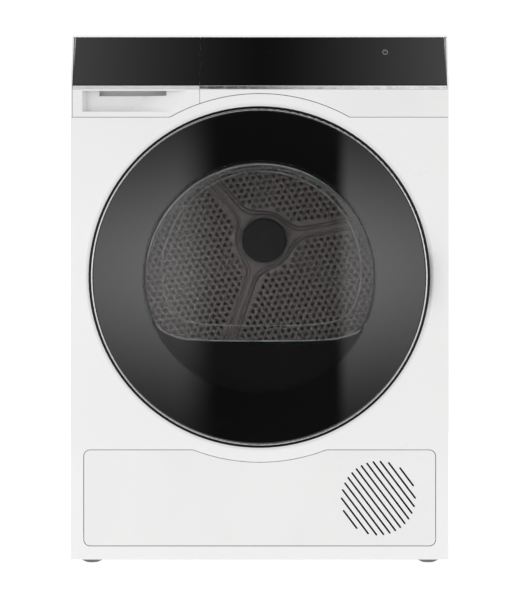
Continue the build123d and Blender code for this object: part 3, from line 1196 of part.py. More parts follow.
save(service_flap, "service_flap")

# ================================ Lint filter ================================

with BuildPart() as lint_filter:
    # Drawer type filter: open pocket with mesh windows and a grip bar on top.
    filter_y = (FRONT_Y + 66.5, FRONT_Y + 96.0)
    slab((-FILTER_HALF_W, FILTER_HALF_W), filter_y, (FILTER_BOTTOM, FILTER_TOP))
    slab((-FILTER_HALF_W + 4, FILTER_HALF_W - 4), (filter_y[0] + 3, filter_y[1] - 3),
         (FILTER_BOTTOM + 4, FILTER_TOP - 6), mode=Mode.SUBTRACT)
    slab((-FILTER_HALF_W + 10, FILTER_HALF_W - 10), (filter_y[0] + 8, filter_y[1] - 8),
         (FILTER_TOP - 8, FILTER_TOP + 1), mode=Mode.SUBTRACT)
    for window_x in (-62.0, 0.0, 62.0):
        window = (window_x - 27, window_x + 27)
        slab(window, (filter_y[1] - 4, filter_y[1] + 1), (FILTER_BOTTOM + 10, FILTER_TOP - 12),
             mode=Mode.SUBTRACT)
        slab(window, (filter_y[1] - 2, filter_y[1] - 1.2), (FILTER_BOTTOM + 10, FILTER_TOP - 12))
    slab((-24.0, 24.0), (filter_y[0] + 8, filter_y[1] - 8), (FILTER_TOP - 6, FILTER_TOP))
    slab((-20.0, 20.0), (filter_y[0] + 11, filter_y[1] - 11), (FILTER_TOP - 7, FILTER_TOP + 1),
         mode=Mode.SUBTRACT)
save(lint_filter, "lint_filter")
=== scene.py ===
import math

import bmesh
import bpy
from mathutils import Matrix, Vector


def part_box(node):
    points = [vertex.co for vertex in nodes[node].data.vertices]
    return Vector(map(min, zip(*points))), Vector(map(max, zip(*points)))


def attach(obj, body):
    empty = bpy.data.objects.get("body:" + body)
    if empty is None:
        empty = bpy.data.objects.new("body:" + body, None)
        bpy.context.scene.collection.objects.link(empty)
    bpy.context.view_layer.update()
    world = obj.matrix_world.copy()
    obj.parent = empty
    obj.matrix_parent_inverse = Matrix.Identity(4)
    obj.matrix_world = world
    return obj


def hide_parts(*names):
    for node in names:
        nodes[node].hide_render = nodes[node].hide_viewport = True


# Looks for a free standing heat pump tumble dryer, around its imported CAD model. Metres, +Z up.

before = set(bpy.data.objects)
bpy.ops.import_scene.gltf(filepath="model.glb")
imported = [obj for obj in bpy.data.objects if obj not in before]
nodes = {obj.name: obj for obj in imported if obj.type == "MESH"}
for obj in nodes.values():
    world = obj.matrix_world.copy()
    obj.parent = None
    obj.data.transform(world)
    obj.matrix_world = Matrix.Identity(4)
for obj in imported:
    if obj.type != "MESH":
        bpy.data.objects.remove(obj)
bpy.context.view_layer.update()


# ---- Places and sizes that the frame gives

def middle(node):
    low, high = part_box(node)
    return (low + high) / 2


FRONT_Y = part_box("front_panel")[0].y
DOOR = middle("door_glass")
DOOR_FACE_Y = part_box("door_glass")[0].y
WALL_LOW, WALL_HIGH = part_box("drum_rear_wall")
DRUM_X = 0.0
DRUM_Z = (WALL_LOW.z + WALL_HIGH.z) / 2
DRUM_WALL_RADIUS = (WALL_HIGH.x - WALL_LOW.x) / 2
BOWL_LOW, BOWL_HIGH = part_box("door_bowl")
FLANGE_RADIUS = (BOWL_HIGH.x - BOWL_LOW.x) / 2
SHEET_BEHIND_FACE = 0.0015
SHEET_Y = WALL_HIGH.y - SHEET_BEHIND_FACE


# ---- Camera, floor, backdrop and light

# The eye stands EYE_DISTANCE in front of the front panel. The view's middle, in x and z, and its height
# are measured on that panel's plane.
EYE_X = 0.0435
EYE_Z = 0.500
EYE_DISTANCE = 2.6
VIEW_CENTRE = (0.0092, 0.4218)
VIEW_HEIGHT = 0.952
SENSOR = 24.0
DOME_POWER = 1.12
DOME_TILT = 0.035


def make_camera():
    data = bpy.data.cameras.new("photo_camera")
    data.sensor_fit = "VERTICAL"
    data.sensor_height = SENSOR
    data.lens = SENSOR * EYE_DISTANCE / VIEW_HEIGHT
    data.shift_x = (VIEW_CENTRE[0] - EYE_X) / VIEW_HEIGHT
    data.shift_y = (VIEW_CENTRE[1] - EYE_Z) / VIEW_HEIGHT
    camera = bpy.data.objects.new("photo_camera", data)
    camera.location = (EYE_X, FRONT_Y - EYE_DISTANCE, EYE_Z)
    camera.rotation_euler = (math.pi / 2, 0, 0)
    bpy.context.scene.collection.objects.link(camera)
    bpy.context.scene.camera = camera


# ---- Node helpers

class Finish:
    """One procedural material: its nodes end in one Principled shader."""

    def __init__(self, name, colour, roughness, metallic=0.0, **constants):
        self.made = bpy.data.materials.new(name)
        self.made.use_nodes = True
        self.tree = self.made.node_tree
        self.shader = self.tree.nodes["Principled BSDF"]
        self.set("Base Color", (*colour, 1.0))
        self.set("Roughness", roughness)
        self.set("Metallic", metallic)
        for socket, value in constants.items():
            self.set(socket.replace("_", " "), value)
        self.place = self.put("TexCoord")["Object"]

    def set(self, socket, value):
        if isinstance(value, bpy.types.NodeSocket):
            self.tree.links.new(value, self.shader.inputs[socket])
        else:
            self.shader.inputs[socket].default_value = value

    def put(self, kind, values=None, **settings):
        node = self.tree.nodes.new("ShaderNode" + kind)
        for key, value in settings.items():
            setattr(node, key, value)
        for socket, value in (values or {}).items():
            if isinstance(value, bpy.types.NodeSocket):
                self.tree.links.new(value, node.inputs[socket])
            else:
                node.inputs[socket].default_value = value
        return node.outputs

    def noise(self, size, detail=3.0, stretch=(1, 1, 1), at=None):
        """A noise whose blotches are about size metres across, stretched along the axes."""
        at = at or self.place
        if stretch != (1, 1, 1):
            thin = tuple(1 / s for s in stretch)
            at = self.put("Mapping", {"Vector": at, "Scale": thin})["Vector"]
        return self.put("TexNoise", {"Vector": at, "Scale": 1 / size, "Detail": detail})["Fac"]

    def cells(self, size, feature="F1", output="Distance", at=None):
        voronoi = self.put("TexVoronoi", {"Vector": at or self.place, "Scale": 1 / size}, feature=feature)
        return voronoi[output]

    def spread(self, value, low, high, start=0.3, end=0.7):
        """value between start and end, mapped to low and high."""
        values = {"Value": value, "From Min": start, "From Max": end, "To Min": low, "To Max": high}
        return self.put("MapRange", values)["Result"]

    def smooth(self, value, start, end, low=0.0, high=1.0):
        values = {"Value": value, "From Min": start, "From Max": end, "To Min": low, "To Max": high}
        return self.put("MapRange", values, interpolation_type="SMOOTHSTEP")["Result"]

    def sum(self, kind, first, second=0.0):
        return self.put("Math", {0: first, 1: second}, operation=kind)["Value"]

    def mix(self, factor, first, second):
        node = self.tree.nodes.new("ShaderNodeMix")
        node.data_type = "RGBA"
        for index, value in ((0, factor), (6, first), (7, second)):
            if isinstance(value, bpy.types.NodeSocket):
                self.tree.links.new(value, node.inputs[index])
            elif index:
                node.inputs[index].default_value = (*value, 1.0) if len(value) == 3 else value
            else:
                node.inputs[index].default_value = value
        return node.outputs[2]

    def shades(self, value, dark, light, start=0.3, end=0.7):
        """Base colour from dark to light as value goes from start to end."""
        colour = self.mix(self.spread(value, 0.0, 1.0, start, end), dark, light)
        self.set("Base Color", colour)
        return colour

    def rough(self, value, low, high, start=0.3, end=0.7):
        self.set("Roughness", self.spread(value, low, high, start, end))

    def relief(self, *layers):
        """Bump from (height, depth in metres) layers, one on top of another."""
        normal = None
        for height, depth in layers:
            values = {"Height": height, "Distance": depth, "Strength": 1.0}
            if normal is not None:
                values["Normal"] = normal
            normal = self.put("Bump", values)["Normal"]
        self.set("Normal", normal)

    def split(self):
        xyz = self.put("SeparateXYZ", {"Vector": self.place})
        return xyz["X"], xyz["Y"], xyz["Z"]

    def polar(self, x0, z0):
        """(angle, distance, y) of a point round the axis that runs along Y through x0, z0."""
        x, y, z = self.split()
        across, up = self.sum("SUBTRACT", x, x0), self.sum("SUBTRACT", z, z0)
        angle = self.sum("ARCTAN2", up, across)
        squares = self.sum("ADD", self.sum("MULTIPLY", across, across), self.sum("MULTIPLY", up, up))
        return angle, self.sum("SQRT", squares), y

    def joined(self, x, y, z):
        return self.put("CombineXYZ", {"X": x, "Y": y, "Z": z})["Vector"]


# ---- Finishes, one for each material slot of the record

def painted_steel(name, colour, dim, orange_peel=0.000012):
    """Baked enamel: orange peel, faint waves of the sheet and tiny differences in gloss."""
    paint = Finish(name, colour, 0.28, Coat_Weight=0.35, Coat_Roughness=0.12)
    cloud = paint.noise(0.22, 2.0)
    paint.shades(cloud, tuple(c * dim for c in colour), colour)
    paint.rough(paint.noise(0.05, 4.0), 0.27, 0.33)
    paint.relief((cloud, 0.0002), (paint.noise(0.0022, 2.0), orange_peel))
    return paint.made


def grained_plastic(name, dark, light, rough=(0.38, 0.52), grain=0.0007, depth=0.00003, **constants):
    """Moulded plastic: spark eroded grain, flow marks and a little unevenness of colour."""
    plastic = Finish(name, light, rough[1], **constants)
    flow = plastic.noise(0.09, 3.0, (1, 1, 2.5))
    plastic.shades(flow, dark, light)
    plastic.rough(plastic.noise(0.02, 4.0), *rough)
    plastic.relief((plastic.noise(grain, 2.0), depth), (plastic.cells(grain * 1.6), depth * 0.7))
    return plastic.made


def worktop_laminate():
    """White laminate with a fine pebble and a faint cloudy unevenness of tone."""
    top = Finish("worktop_white_laminate", (0.74, 0.74, 0.735), 0.42)
    pebble = top.cells(0.0011, "SMOOTH_F1")
    cloud = top.noise(0.16, 3.0)
    top.shades(cloud, (0.715, 0.715, 0.71), (0.74, 0.74, 0.738))
    top.rough(top.noise(0.03, 4.0), 0.34, 0.48)
    top.relief((pebble, 0.00005), (top.noise(0.0004, 2.0), 0.00001))
    return top.made


def smudges(finish, clean, worn):
    """Roughness of polished glass: mostly clean, with soft wiped arcs and finger marks."""
    wiped = finish.noise(0.07, 5.0, (1.0, 1.0, 0.35))
    fingers = finish.cells(0.026, "SMOOTH_F1")
    marks = finish.sum("MULTIPLY", finish.smooth(wiped, 0.5, 0.72), finish.smooth(fingers, 0.55, 0.2))
    finish.set("Roughness", finish.spread(marks, clean, worn, 0.0, 1.0))


PRINT_GREY = (0.2, 0.2, 0.2)
POWER_X = 0.200
POWER_Z = 0.817
POWER_RADIUS = 0.0037
POWER_GAP_HALF = 0.0015
POWER_BAR_LOW = 0.0005
POWER_BAR_HIGH = 0.0048
LINE_OUTSIDE = 0.00065
LINE_INSIDE = 0.0003
PRINT_EDGE = 0.0003
TOUCH_X = (-0.045, -0.015, 0.015, 0.045, 0.075, 0.105)
TOUCH_Z = 0.8165
TOUCH_RADIUS = 0.0016
TOUCH_EDGE = 0.0004
TOUCH_FAINT = 0.03


def stroke(finish, distance):
    """1 on a line where distance is nearly 0."""
    return finish.smooth(finish.sum("ABSOLUTE", distance), LINE_OUTSIDE, LINE_INSIDE)


def power_mark(finish):
    """A thin ring, open at its top, with a short bar in the opening."""
    x, _, z = finish.split()
    _, distance, _ = finish.polar(POWER_X, POWER_Z)
    ring = stroke(finish, finish.sum("SUBTRACT", distance, POWER_RADIUS))
    aside = finish.sum("ABSOLUTE", finish.sum("SUBTRACT", x, POWER_X))
    above = finish.sum("SUBTRACT", z, POWER_Z)
    in_gap = finish.smooth(aside, POWER_GAP_HALF, POWER_GAP_HALF - PRINT_EDGE)
    open_top = finish.sum("MULTIPLY", in_gap, finish.smooth(above, 0.0, 0.0002))
    ring = finish.sum("MULTIPLY", ring, finish.sum("SUBTRACT", 1.0, open_top))
    over_foot = finish.smooth(above, POWER_BAR_LOW, POWER_BAR_LOW + PRINT_EDGE)
    under_top = finish.smooth(above, POWER_BAR_HIGH, POWER_BAR_HIGH - PRINT_EDGE)
    bar = finish.sum("MULTIPLY", stroke(finish, aside), finish.sum("MULTIPLY", over_foot, under_top))
    return finish.sum("MAXIMUM", ring, bar)


def touch_marks(finish):
    """A row of faint printed dots where the keys are touched."""
    marks = 0.0
    for x in TOUCH_X:
        distance = finish.polar(x, TOUCH_Z)[1]
        dot = finish.smooth(distance, TOUCH_RADIUS, TOUCH_RADIUS - TOUCH_EDGE, 0.0, TOUCH_FAINT)
        marks = finish.sum("MAXIMUM", dot, marks)
    return marks


def panel_glass():
    """Back printed control glass, black and polished."""
    glass = Finish("black_panel_glass", (0.0035, 0.0035, 0.004), 0.04)
    marks = glass.sum("MAXIMUM", power_mark(glass), touch_marks(glass))
    glass.set("Base Color", glass.mix(marks, (0.0034, 0.0034, 0.0038), PRINT_GREY))
    smudges(glass, 0.035, 0.085)
    glass.relief((glass.noise(0.05, 1.0), 0.00002))
    return glass.made


DOT_PITCH = 0.0032
WINDOW_INSET = 0.006
FADE_WIDTH = 0.006
FADE_OVER = 0.001


def door_pane():
    """Smoked door glass: printed black outside the window, with a fine fading edge of dots."""
    glass = Finish("smoked_door_glass", (0.003, 0.003, 0.0033), 0.03, Specular_IOR_Level=0.62)
    distance = glass.polar(DOOR.x, DOOR.z)[1]
    edge = FLANGE_RADIUS - WINDOW_INSET
    fade = glass.smooth(distance, edge - FADE_WIDTH, edge + FADE_OVER)
    dots = glass.cells(DOT_PITCH)
    print_cover = glass.smooth(glass.sum("SUBTRACT", dots, fade), 0.0, -0.12)
    solid = glass.sum("MAXIMUM", glass.sum("MULTIPLY", print_cover, fade), glass.smooth(fade, 0.75, 1.0))
    glass.set("Alpha", glass.spread(solid, 0.3, 0.97, 0.0, 1.0))
    tint = glass.noise(0.12, 2.0)
    glass.shades(tint, (0.002, 0.002, 0.0023), (0.0032, 0.0032, 0.0035))
    smudges(glass, 0.02, 0.07)
    return glass.made


def bowl_glass():
    """Clear moulded glass: open where it is seen face on, denser and greenish at grazing edges, where its
    light base colour is a painted reflection.
    """
    glass = Finish("clear_bowl_glass", (0.3, 0.36, 0.34), 0.03, Specular_IOR_Level=0.9)
    facing = glass.put("LayerWeight", {"Blend": 0.3})["Facing"]
    ripple = glass.noise(0.035, 2.0, (1.0, 1.0, 2.6))
    streaks = glass.noise(0.006, 3.0, (1.0, 6.0, 5.0))
    grazing_reflection = glass.smooth(facing, 0.45, 0.98)
    dense = glass.sum("MULTIPLY", grazing_reflection, glass.spread(streaks, 0.45, 1.0))
    glass.set("Alpha", glass.spread(dense, 0.015, 0.9, 0.0, 1.0))
    # Painted reflection: the base colour turns light green where the glass is seen at a grazing angle.
    glass.set("Base Color", glass.mix(grazing_reflection, (0.01, 0.012, 0.011), (0.6, 0.67, 0.645)))
    glass.rough(glass.noise(0.02, 3.0), 0.015, 0.05)
    glass.relief((ripple, 0.0016), (glass.noise(0.009, 2.0), 0.00008))
    return glass.made


def glass_edge():
    """The thick moulded edge of the bowl, where the glass looks green; its light base colour is a painted
    highlight for the light it catches.
    """
    edge = Finish("glass_edge", (0.26, 0.32, 0.3), 0.08, Specular_IOR_Level=0.8)
    flow = edge.noise(0.03, 3.0)
    # Painted highlight: a light green base colour stands for the light caught by the glass edge; the green
    # is the glass's own tint.
    edge.shades(flow, (0.17, 0.21, 0.2), (0.34, 0.41, 0.39))
    edge.set("Alpha", edge.spread(flow, 0.5, 0.95))
    edge.rough(edge.noise(0.008, 3.0), 0.05, 0.14)
    return edge.made


def chrome(name="bright_trim_chrome", bright=1.0):
    """Bright plated trim with a fine polish direction."""
    dark, light = (0.7 * bright,) * 3, (0.82 * bright,) * 3
    trim = Finish(name, light, 0.1, 1.0)
    polish = trim.noise(0.0012, 3.0, (14, 14, 1))
    trim.shades(polish, dark, light)
    trim.rough(trim.noise(0.01, 3.0), 0.07, 0.16)
    trim.relief((polish, 0.000004))
    return trim.made


def satin_trim():
    """Plated strip with a brushed matt finish."""
    trim = Finish("satin_trim", (0.72, 0.72, 0.73), 0.38, 1.0)
    brushed = trim.noise(0.0009, 3.0, (16, 16, 1))
    trim.shades(brushed, (0.69, 0.69, 0.7), (0.73, 0.73, 0.74))
    trim.rough(trim.noise(0.01, 3.0), 0.34, 0.44)
    trim.relief((brushed, 0.000006))
    return trim.made


SPANGLES_PER_METRE = 230.0


def galvanised():
    """Zinc coated sheet: flowers of the spangle differ in shade and gloss."""
    zinc = Finish("galvanised_zinc", (0.55, 0.57, 0.59), 0.4, 1.0)
    flowers = zinc.put("TexVoronoi", {"Vector": zinc.place, "Scale": SPANGLES_PER_METRE})["Color"]
    shade = zinc.put("RGBToBW", {"Color": flowers})["Val"]
    zinc.shades(shade, (0.5, 0.52, 0.54), (0.58, 0.6, 0.62), 0.1, 0.9)
    zinc.rough(shade, 0.36, 0.48, 0.1, 0.9)
    zinc.relief((shade, 0.00003), (zinc.noise(0.004, 3.0), 0.00003))
    return zinc.made


def drum_steel():
    """Stainless drum sheet, brushed round the drum's axis, with rolling marks."""
    steel = Finish("stainless_drum_steel", (0.46, 0.42, 0.41), 0.34, 0.7)
    angle, distance, y = steel.polar(DRUM_X, DRUM_Z)
    round_way = steel.joined(steel.sum("MULTIPLY", angle, 0.02), steel.sum("MULTIPLY", distance, 2.0), y)
    brushed = steel.noise(0.0011, 4.0, at=round_way)
    cloud = steel.noise(0.08, 3.0)
    steel.shades(brushed, (0.38, 0.35, 0.345), (0.54, 0.5, 0.49))
    steel.rough(cloud, 0.28, 0.4)
    steel.relief((brushed, 0.00001), (cloud, 0.0004))
    return steel.made


def seal_rubber():
    """Moulded rubber, matt, with a bloom of dust."""
    rubber = Finish("grey_seal_rubber", (0.03, 0.03, 0.032), 0.7, Sheen_Weight=0.12)
    bloom = rubber.noise(0.015, 5.0)
    rubber.shades(bloom, (0.02, 0.02, 0.021), (0.045, 0.045, 0.047))
    rubber.rough(bloom, 0.55, 0.8)
    rubber.relief((rubber.noise(0.0009, 3.0), 0.00006))
    return rubber.made


def pressed_felt():
    """Grey wool felt: matted fibres that run every way."""
    felt = Finish("wool_felt", (0.3, 0.29, 0.27), 0.9, Sheen_Weight=0.5, Sheen_Roughness=0.5)
    fibres = felt.noise(0.0016, 6.0, (1, 4, 1))
    crossing = felt.noise(0.0013, 6.0, (4, 1, 2))
    felt.shades(felt.sum("MULTIPLY", fibres, crossing), (0.2, 0.19, 0.18), (0.42, 0.4, 0.37), 0.12, 0.4)
    felt.relief((fibres, 0.0005), (crossing, 0.0004))
    return felt.made


FIN_PITCH = 0.0021


def fin_stack():
    """Aluminium fins, edge on: thin bright lines with gaps painted dark as the shade between the fins, some
    a little bent.
    """
    fins = Finish("aluminium_fins", (0.6, 0.6, 0.6), 0.35, 1.0)
    x, y, z = fins.split()
    bent = fins.sum("ADD", x, fins.spread(fins.noise(0.03, 3.0), -0.0007, 0.0007))
    turn = fins.sum("MULTIPLY", bent, 2 * math.pi / FIN_PITCH)
    fins_and_gap_shade = fins.sum("SINE", turn)
    # Painted shade: the gaps between the fins are coloured nearly black.
    fins.shades(fins_and_gap_shade, (0.05, 0.05, 0.05), (0.68, 0.68, 0.69), -0.4, 0.5)
    fins.rough(fins.noise(0.02, 3.0), 0.28, 0.5)
    fins.relief((fins_and_gap_shade, 0.0004))
    return fins.made


def copper_tube():
    """Drawn copper with brown oxide clouds."""
    copper = Finish("drawn_copper", (0.7, 0.36, 0.22), 0.3, 1.0)
    oxide = copper.noise(0.03, 5.0)
    copper.shades(oxide, (0.3, 0.15, 0.1), (0.78, 0.42, 0.28))
    copper.rough(oxide, 0.5, 0.22)
    copper.relief((copper.noise(0.002, 4.0, (1, 1, 5)), 0.00002))
    return copper.made


def bearing_bronze():
    """Sintered bronze: fine pores and a film of oil."""
    bronze = Finish("sintered_bronze", (0.5, 0.34, 0.16), 0.45, 1.0)
    pores = bronze.cells(0.0006)
    bronze.shades(pores, (0.25, 0.16, 0.08), (0.56, 0.4, 0.2), 0.05, 0.4)
    bronze.rough(bronze.noise(0.01, 3.0), 0.3, 0.55)
    bronze.relief((pores, 0.00004))
    return bronze.made


def studio_floor():
    """Pale lit floor with a faint unevenness."""
    floor = Finish("pale_floor", (0.4, 0.4, 0.4), 0.8,
                   Emission_Color=(1, 1, 1, 1), Emission_Strength=0.93)
    floor.shades(floor.noise(0.6, 3.0), (0.38, 0.38, 0.38), (0.41, 0.41, 0.41))
    floor.set("Specular IOR Level", 0.05)
    return floor.made


FINISHES = {
    "white_steel": painted_steel("white_enamel", (0.67, 0.67, 0.668), 0.985),
    "worktop_white": worktop_laminate(),
    "white_plastic": grained_plastic("white_moulded", (0.635, 0.635, 0.633), (0.655, 0.655, 0.652)),
    "black_glass": panel_glass(),
    "smoked_glass": door_pane(),
    "clear_glass": bowl_glass(),
    "bright_trim": chrome(),
    "black_plastic": grained_plastic("black_moulded", (0.012, 0.012, 0.013), (0.02, 0.02, 0.021),
                                     (0.3, 0.45)),
    "dark_plastic": grained_plastic("dark_moulded", (0.028, 0.028, 0.03), (0.045, 0.045, 0.047)),
    "grey_plastic": grained_plastic("grey_moulded", (0.2, 0.205, 0.21), (0.25, 0.255, 0.26)),
    "light_plastic": grained_plastic("light_moulded", (0.5, 0.5, 0.49), (0.58, 0.58, 0.57)),
    "galvanised": galvanised(),
    "stainless": drum_steel(),
    "rubber": seal_rubber(),
    "felt": pressed_felt(),
    "fins": fin_stack(),
    "copper": copper_tube(),
    "compressor_black": painted_steel("compressor_black", (0.022, 0.022, 0.024), 0.7, 0.00008),
    "bronze": bearing_bronze(),
    "foot_grey": grained_plastic("foot_grey", (0.09, 0.09, 0.095), (0.13, 0.13, 0.135), (0.5, 0.7)),
}

# Nodes that look different from the others of their slot.
OWN_FINISHES = {
    "door_frame": grained_plastic("piano_black", (0.004, 0.004, 0.0045), (0.006, 0.006, 0.0065),
                                  (0.06, 0.12), depth=0.000002, Specular_IOR_Level=0.15),
    "door_inner_frame": grained_plastic("deep_black", (0.0025, 0.0025, 0.003), (0.004, 0.004, 0.0045),
                                        Specular_IOR_Level=0.12),
    "door_trim_ring": chrome("smoked_chrome", 0.62),
    "tank_trim": satin_trim(),
}
SOFT_SHADOW_NODES = ("door_frame", "door_inner_frame", "door_glass", "door_trim_ring")


def finish_nodes():
    for name, piece in nodes.items():
        for held in piece.material_slots:
            held.material = OWN_FINISHES.get(name) or FINISHES[held.material.name.split(".")[0]]
    for name in SOFT_SHADOW_NODES:
        pass_light(nodes[name])


def pass_light(piece):
    """The door's lit side stays even, and the drum behind it is lit, as under a studio's wide lamps."""
    piece.visible_diffuse = False
    piece.visible_shadow = False


# ---- Pieces in mesh code

def full_turn(count):
    """Angles of count points spread evenly round a circle."""
    return [2 * math.pi * i / count for i in range(count)]


def ring_faces(rows, sides):
    """Quads between rings of points, each ring closed on itself."""
    faces = []
    for row in range(rows - 1):
        for i in range(sides):
            a, b = row * sides + i, row * sides + (i + 1) % sides
            faces.append((a, b, b + sides, a + sides))
    return faces


def make_piece(name, points, faces, finish, body, sharp=math.radians(35)):
    mesh = bpy.data.meshes.new(name)
    mesh.from_pydata([tuple(p) for p in points], [], faces)
    mesh.materials.append(FINISHES[finish])
    mesh.shade_smooth()
    mesh.set_sharp_from_angle(angle=sharp)
    piece = bpy.data.objects.new(name, mesh)
    bpy.context.scene.collection.objects.link(piece)
    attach(piece, body)
    return piece


def link(name, mesh):
    made = bpy.data.objects.new(name, mesh)
    bpy.context.scene.collection.objects.link(made)
    return made


FLOOR_RADIUS = 1.7
FLOOR_SIDES = 96


def make_floor():
    """A round pale floor that ends short of the light card."""
    mesh = bpy.data.meshes.new("studio_floor")
    rim = [(FLOOR_RADIUS * math.cos(t), FLOOR_RADIUS * math.sin(t), 0) for t in full_turn(FLOOR_SIDES)]
    mesh.from_pydata(rim, [], [tuple(range(FLOOR_SIDES))])
    mesh.materials.append(studio_floor())
    link("studio_floor", mesh)


CARD_BEHIND_EYE = 0.3
CARD_HALF_WIDTH = 1.05
CARD_BOTTOM = -0.9
CARD_TOP = 3.5
CARD_SIDE_FADE = 0.2
CARD_TOP_FADE = 0.3

# The card's pattern, in x and z of the door glass that mirrors it.
GAP_LEFT = (-0.062, -0.135)
GAP_RIGHT = (0.118, 0.142)
GLOW_Z = 0.474
GLOW_SPREAD = 0.115
GLOW_POWER = 2.85
GLOW_RIM_SHARE = 0.72
GLOW_FADE = (0.1, 0.26)
TRIM_RISE = (-0.03, 0.09)
TRIM_POWERS = (0.06, 1.6)
TRIM_END = 0.27
TRIM_END_POWER = 0.4
TRIM_BAND_LOW = (0.74, 0.8)
TRIM_BAND_HIGH = (1.5, 1.3)
HIGH_STARTS = (1.3, 1.5)
HIGH_TURN = (0.0, 0.1)
HIGH_CURVE = 1.6
HIGH_SLOPE = 6.2
HIGH_RIGHT = 1.2
DIM = 0.03


def card_light():
    """What the glass mirrors: two soft glows beside a dark gap, a band for the trims, and a light above."""
    lit = Finish("light_card", (0, 0, 0), 1.0)
    gap_to_eye = DOOR_FACE_Y - (FRONT_Y - EYE_DISTANCE)
    reach = (2 * gap_to_eye + CARD_BEHIND_EYE) / gap_to_eye
    s, _, t = lit.split()
    across = lit.sum("ADD", lit.sum("DIVIDE", lit.sum("SUBTRACT", s, EYE_X), reach), EYE_X)
    up = lit.sum("ADD", lit.sum("DIVIDE", lit.sum("SUBTRACT", t, EYE_Z), reach), EYE_Z)

    from_middle = lit.sum("ABSOLUTE", across)
    beside = lit.sum("MAXIMUM", lit.smooth(across, *GAP_LEFT), lit.smooth(across, *GAP_RIGHT))
    from_glow = lit.sum("DIVIDE", lit.sum("SUBTRACT", up, GLOW_Z), GLOW_SPREAD)
    bell = lit.sum("EXPONENT", lit.sum("MULTIPLY", lit.sum("MULTIPLY", from_glow, from_glow), -0.5))
    fading = lit.spread(from_middle, GLOW_POWER, GLOW_POWER * GLOW_RIM_SHARE, *GLOW_FADE)
    glow = lit.sum("MULTIPLY", lit.sum("MULTIPLY", bell, beside), fading)

    trim_rise = lit.smooth(across, *TRIM_RISE, *TRIM_POWERS)
    trim_side = lit.sum("ADD", trim_rise, lit.spread(across, 0.0, TRIM_END_POWER, TRIM_RISE[1], TRIM_END))
    trim_zone = lit.sum("MULTIPLY", lit.smooth(up, *TRIM_BAND_LOW), lit.smooth(up, *TRIM_BAND_HIGH))
    trim = lit.sum("MULTIPLY", trim_side, trim_zone)

    side = lit.smooth(across, *HIGH_TURN, HIGH_SLOPE, HIGH_SLOPE * HIGH_RIGHT)
    slope = lit.sum("MULTIPLY", lit.sum("POWER", from_middle, HIGH_CURVE), side)
    high = lit.sum("MULTIPLY", slope, lit.smooth(up, *HIGH_STARTS))
    total = lit.sum("ADD", lit.sum("ADD", glow, trim), lit.sum("ADD", high, DIM))

    glowing = lit.put("Emission", {"Strength": total})["Emission"]
    clear = lit.put("BsdfTransparent")["BSDF"]
    side_fade = lit.smooth(lit.sum("ABSOLUTE", s), CARD_HALF_WIDTH, CARD_HALF_WIDTH - CARD_SIDE_FADE)
    top_fade = lit.smooth(t, CARD_TOP, CARD_TOP - CARD_TOP_FADE)
    solid = lit.sum("MULTIPLY", side_fade, top_fade)
    mixed = lit.put("MixShader", {0: solid, 1: clear, 2: glowing})["Shader"]
    lit.tree.links.new(mixed, lit.tree.nodes["Material Output"].inputs["Surface"])
    return lit.made


def make_card():
    """The light card stands behind the camera, and only mirrors show it."""
    y = FRONT_Y - EYE_DISTANCE - CARD_BEHIND_EYE
    mesh = bpy.data.meshes.new("light_card")
    low = [(-CARD_HALF_WIDTH, y, CARD_BOTTOM), (CARD_HALF_WIDTH, y, CARD_BOTTOM)]
    high = [(CARD_HALF_WIDTH, y, CARD_TOP), (-CARD_HALF_WIDTH, y, CARD_TOP)]
    mesh.from_pydata(low + high, [], [(0, 1, 2, 3)])
    mesh.materials.append(card_light())
    card = link("light_card", mesh)
    card.visible_camera = False
    card.visible_diffuse = False
    card.visible_shadow = False


def make_world():
    """An even white dome, a little brighter on the left."""
    world = bpy.data.worlds.new("studio_dome")
    bpy.context.scene.world = world
    world.use_nodes = True
    tree = world.node_tree
    tree.nodes["Background"].inputs["Color"].default_value = (1, 1, 1, 1)
    direction = tree.nodes.new("ShaderNodeTexCoord").outputs["Generated"]
    split = tree.nodes.new("ShaderNodeSeparateXYZ")
    power = tree.nodes.new("ShaderNodeMath")
    power.operation = "MULTIPLY_ADD"
    power.inputs[1].default_value = -DOME_TILT
    power.inputs[2].default_value = DOME_POWER
    tree.links.new(direction, split.inputs[0])
    tree.links.new(split.outputs["X"], power.inputs[0])
    tree.links.new(power.outputs[0], tree.nodes["Background"].inputs["Strength"])
    bpy.context.scene.view_settings.view_transform = "Standard"
    bpy.context.scene.view_settings.look = "None"


# ---- The drum's rear wall

HOLE_PITCH = 0.0128
HOLE_RADIUS = 0.0029
HOLE_SIDES = 12
HOLE_CLEARANCE = 1.3
LATTICE_TURN = math.radians(7)
SHEET_THICK = 0.0009
STAR_ANGLES = [math.radians(a) for a in (11, 131, 251)]
STAR_HUB_RADIUS = 0.057
STAR_HALF_WIDTH = 0.0125
STAR_FILLET = 0.03
STAR_STEP = 0.0016
STAR_SKIRT_STEPS = 3
STAR_EDGE_GAP = 0.004
STAR_RISE = 0.0052
STAR_FLANK = 0.003
GROOVE_DEPTH = 0.0038
GROOVE_FALL = (0.003, 0.0048)
GROOVE_CLIMB = (0.0062, 0.0085)
SKIRT_DROP = 0.0012
SKIRT_WIDTH = 0.002
RIM_WIDTH = 0.022
RIM_SIDES = 144
# Inset from the wall's edge and offset behind the sheet, across the rolled rim.
RIM_PROFILE = [(0.0, 0.0006), (0.004, -0.0016), (0.011, -0.0028), (0.018, -0.0016), (RIM_WIDTH, 0.0012)]


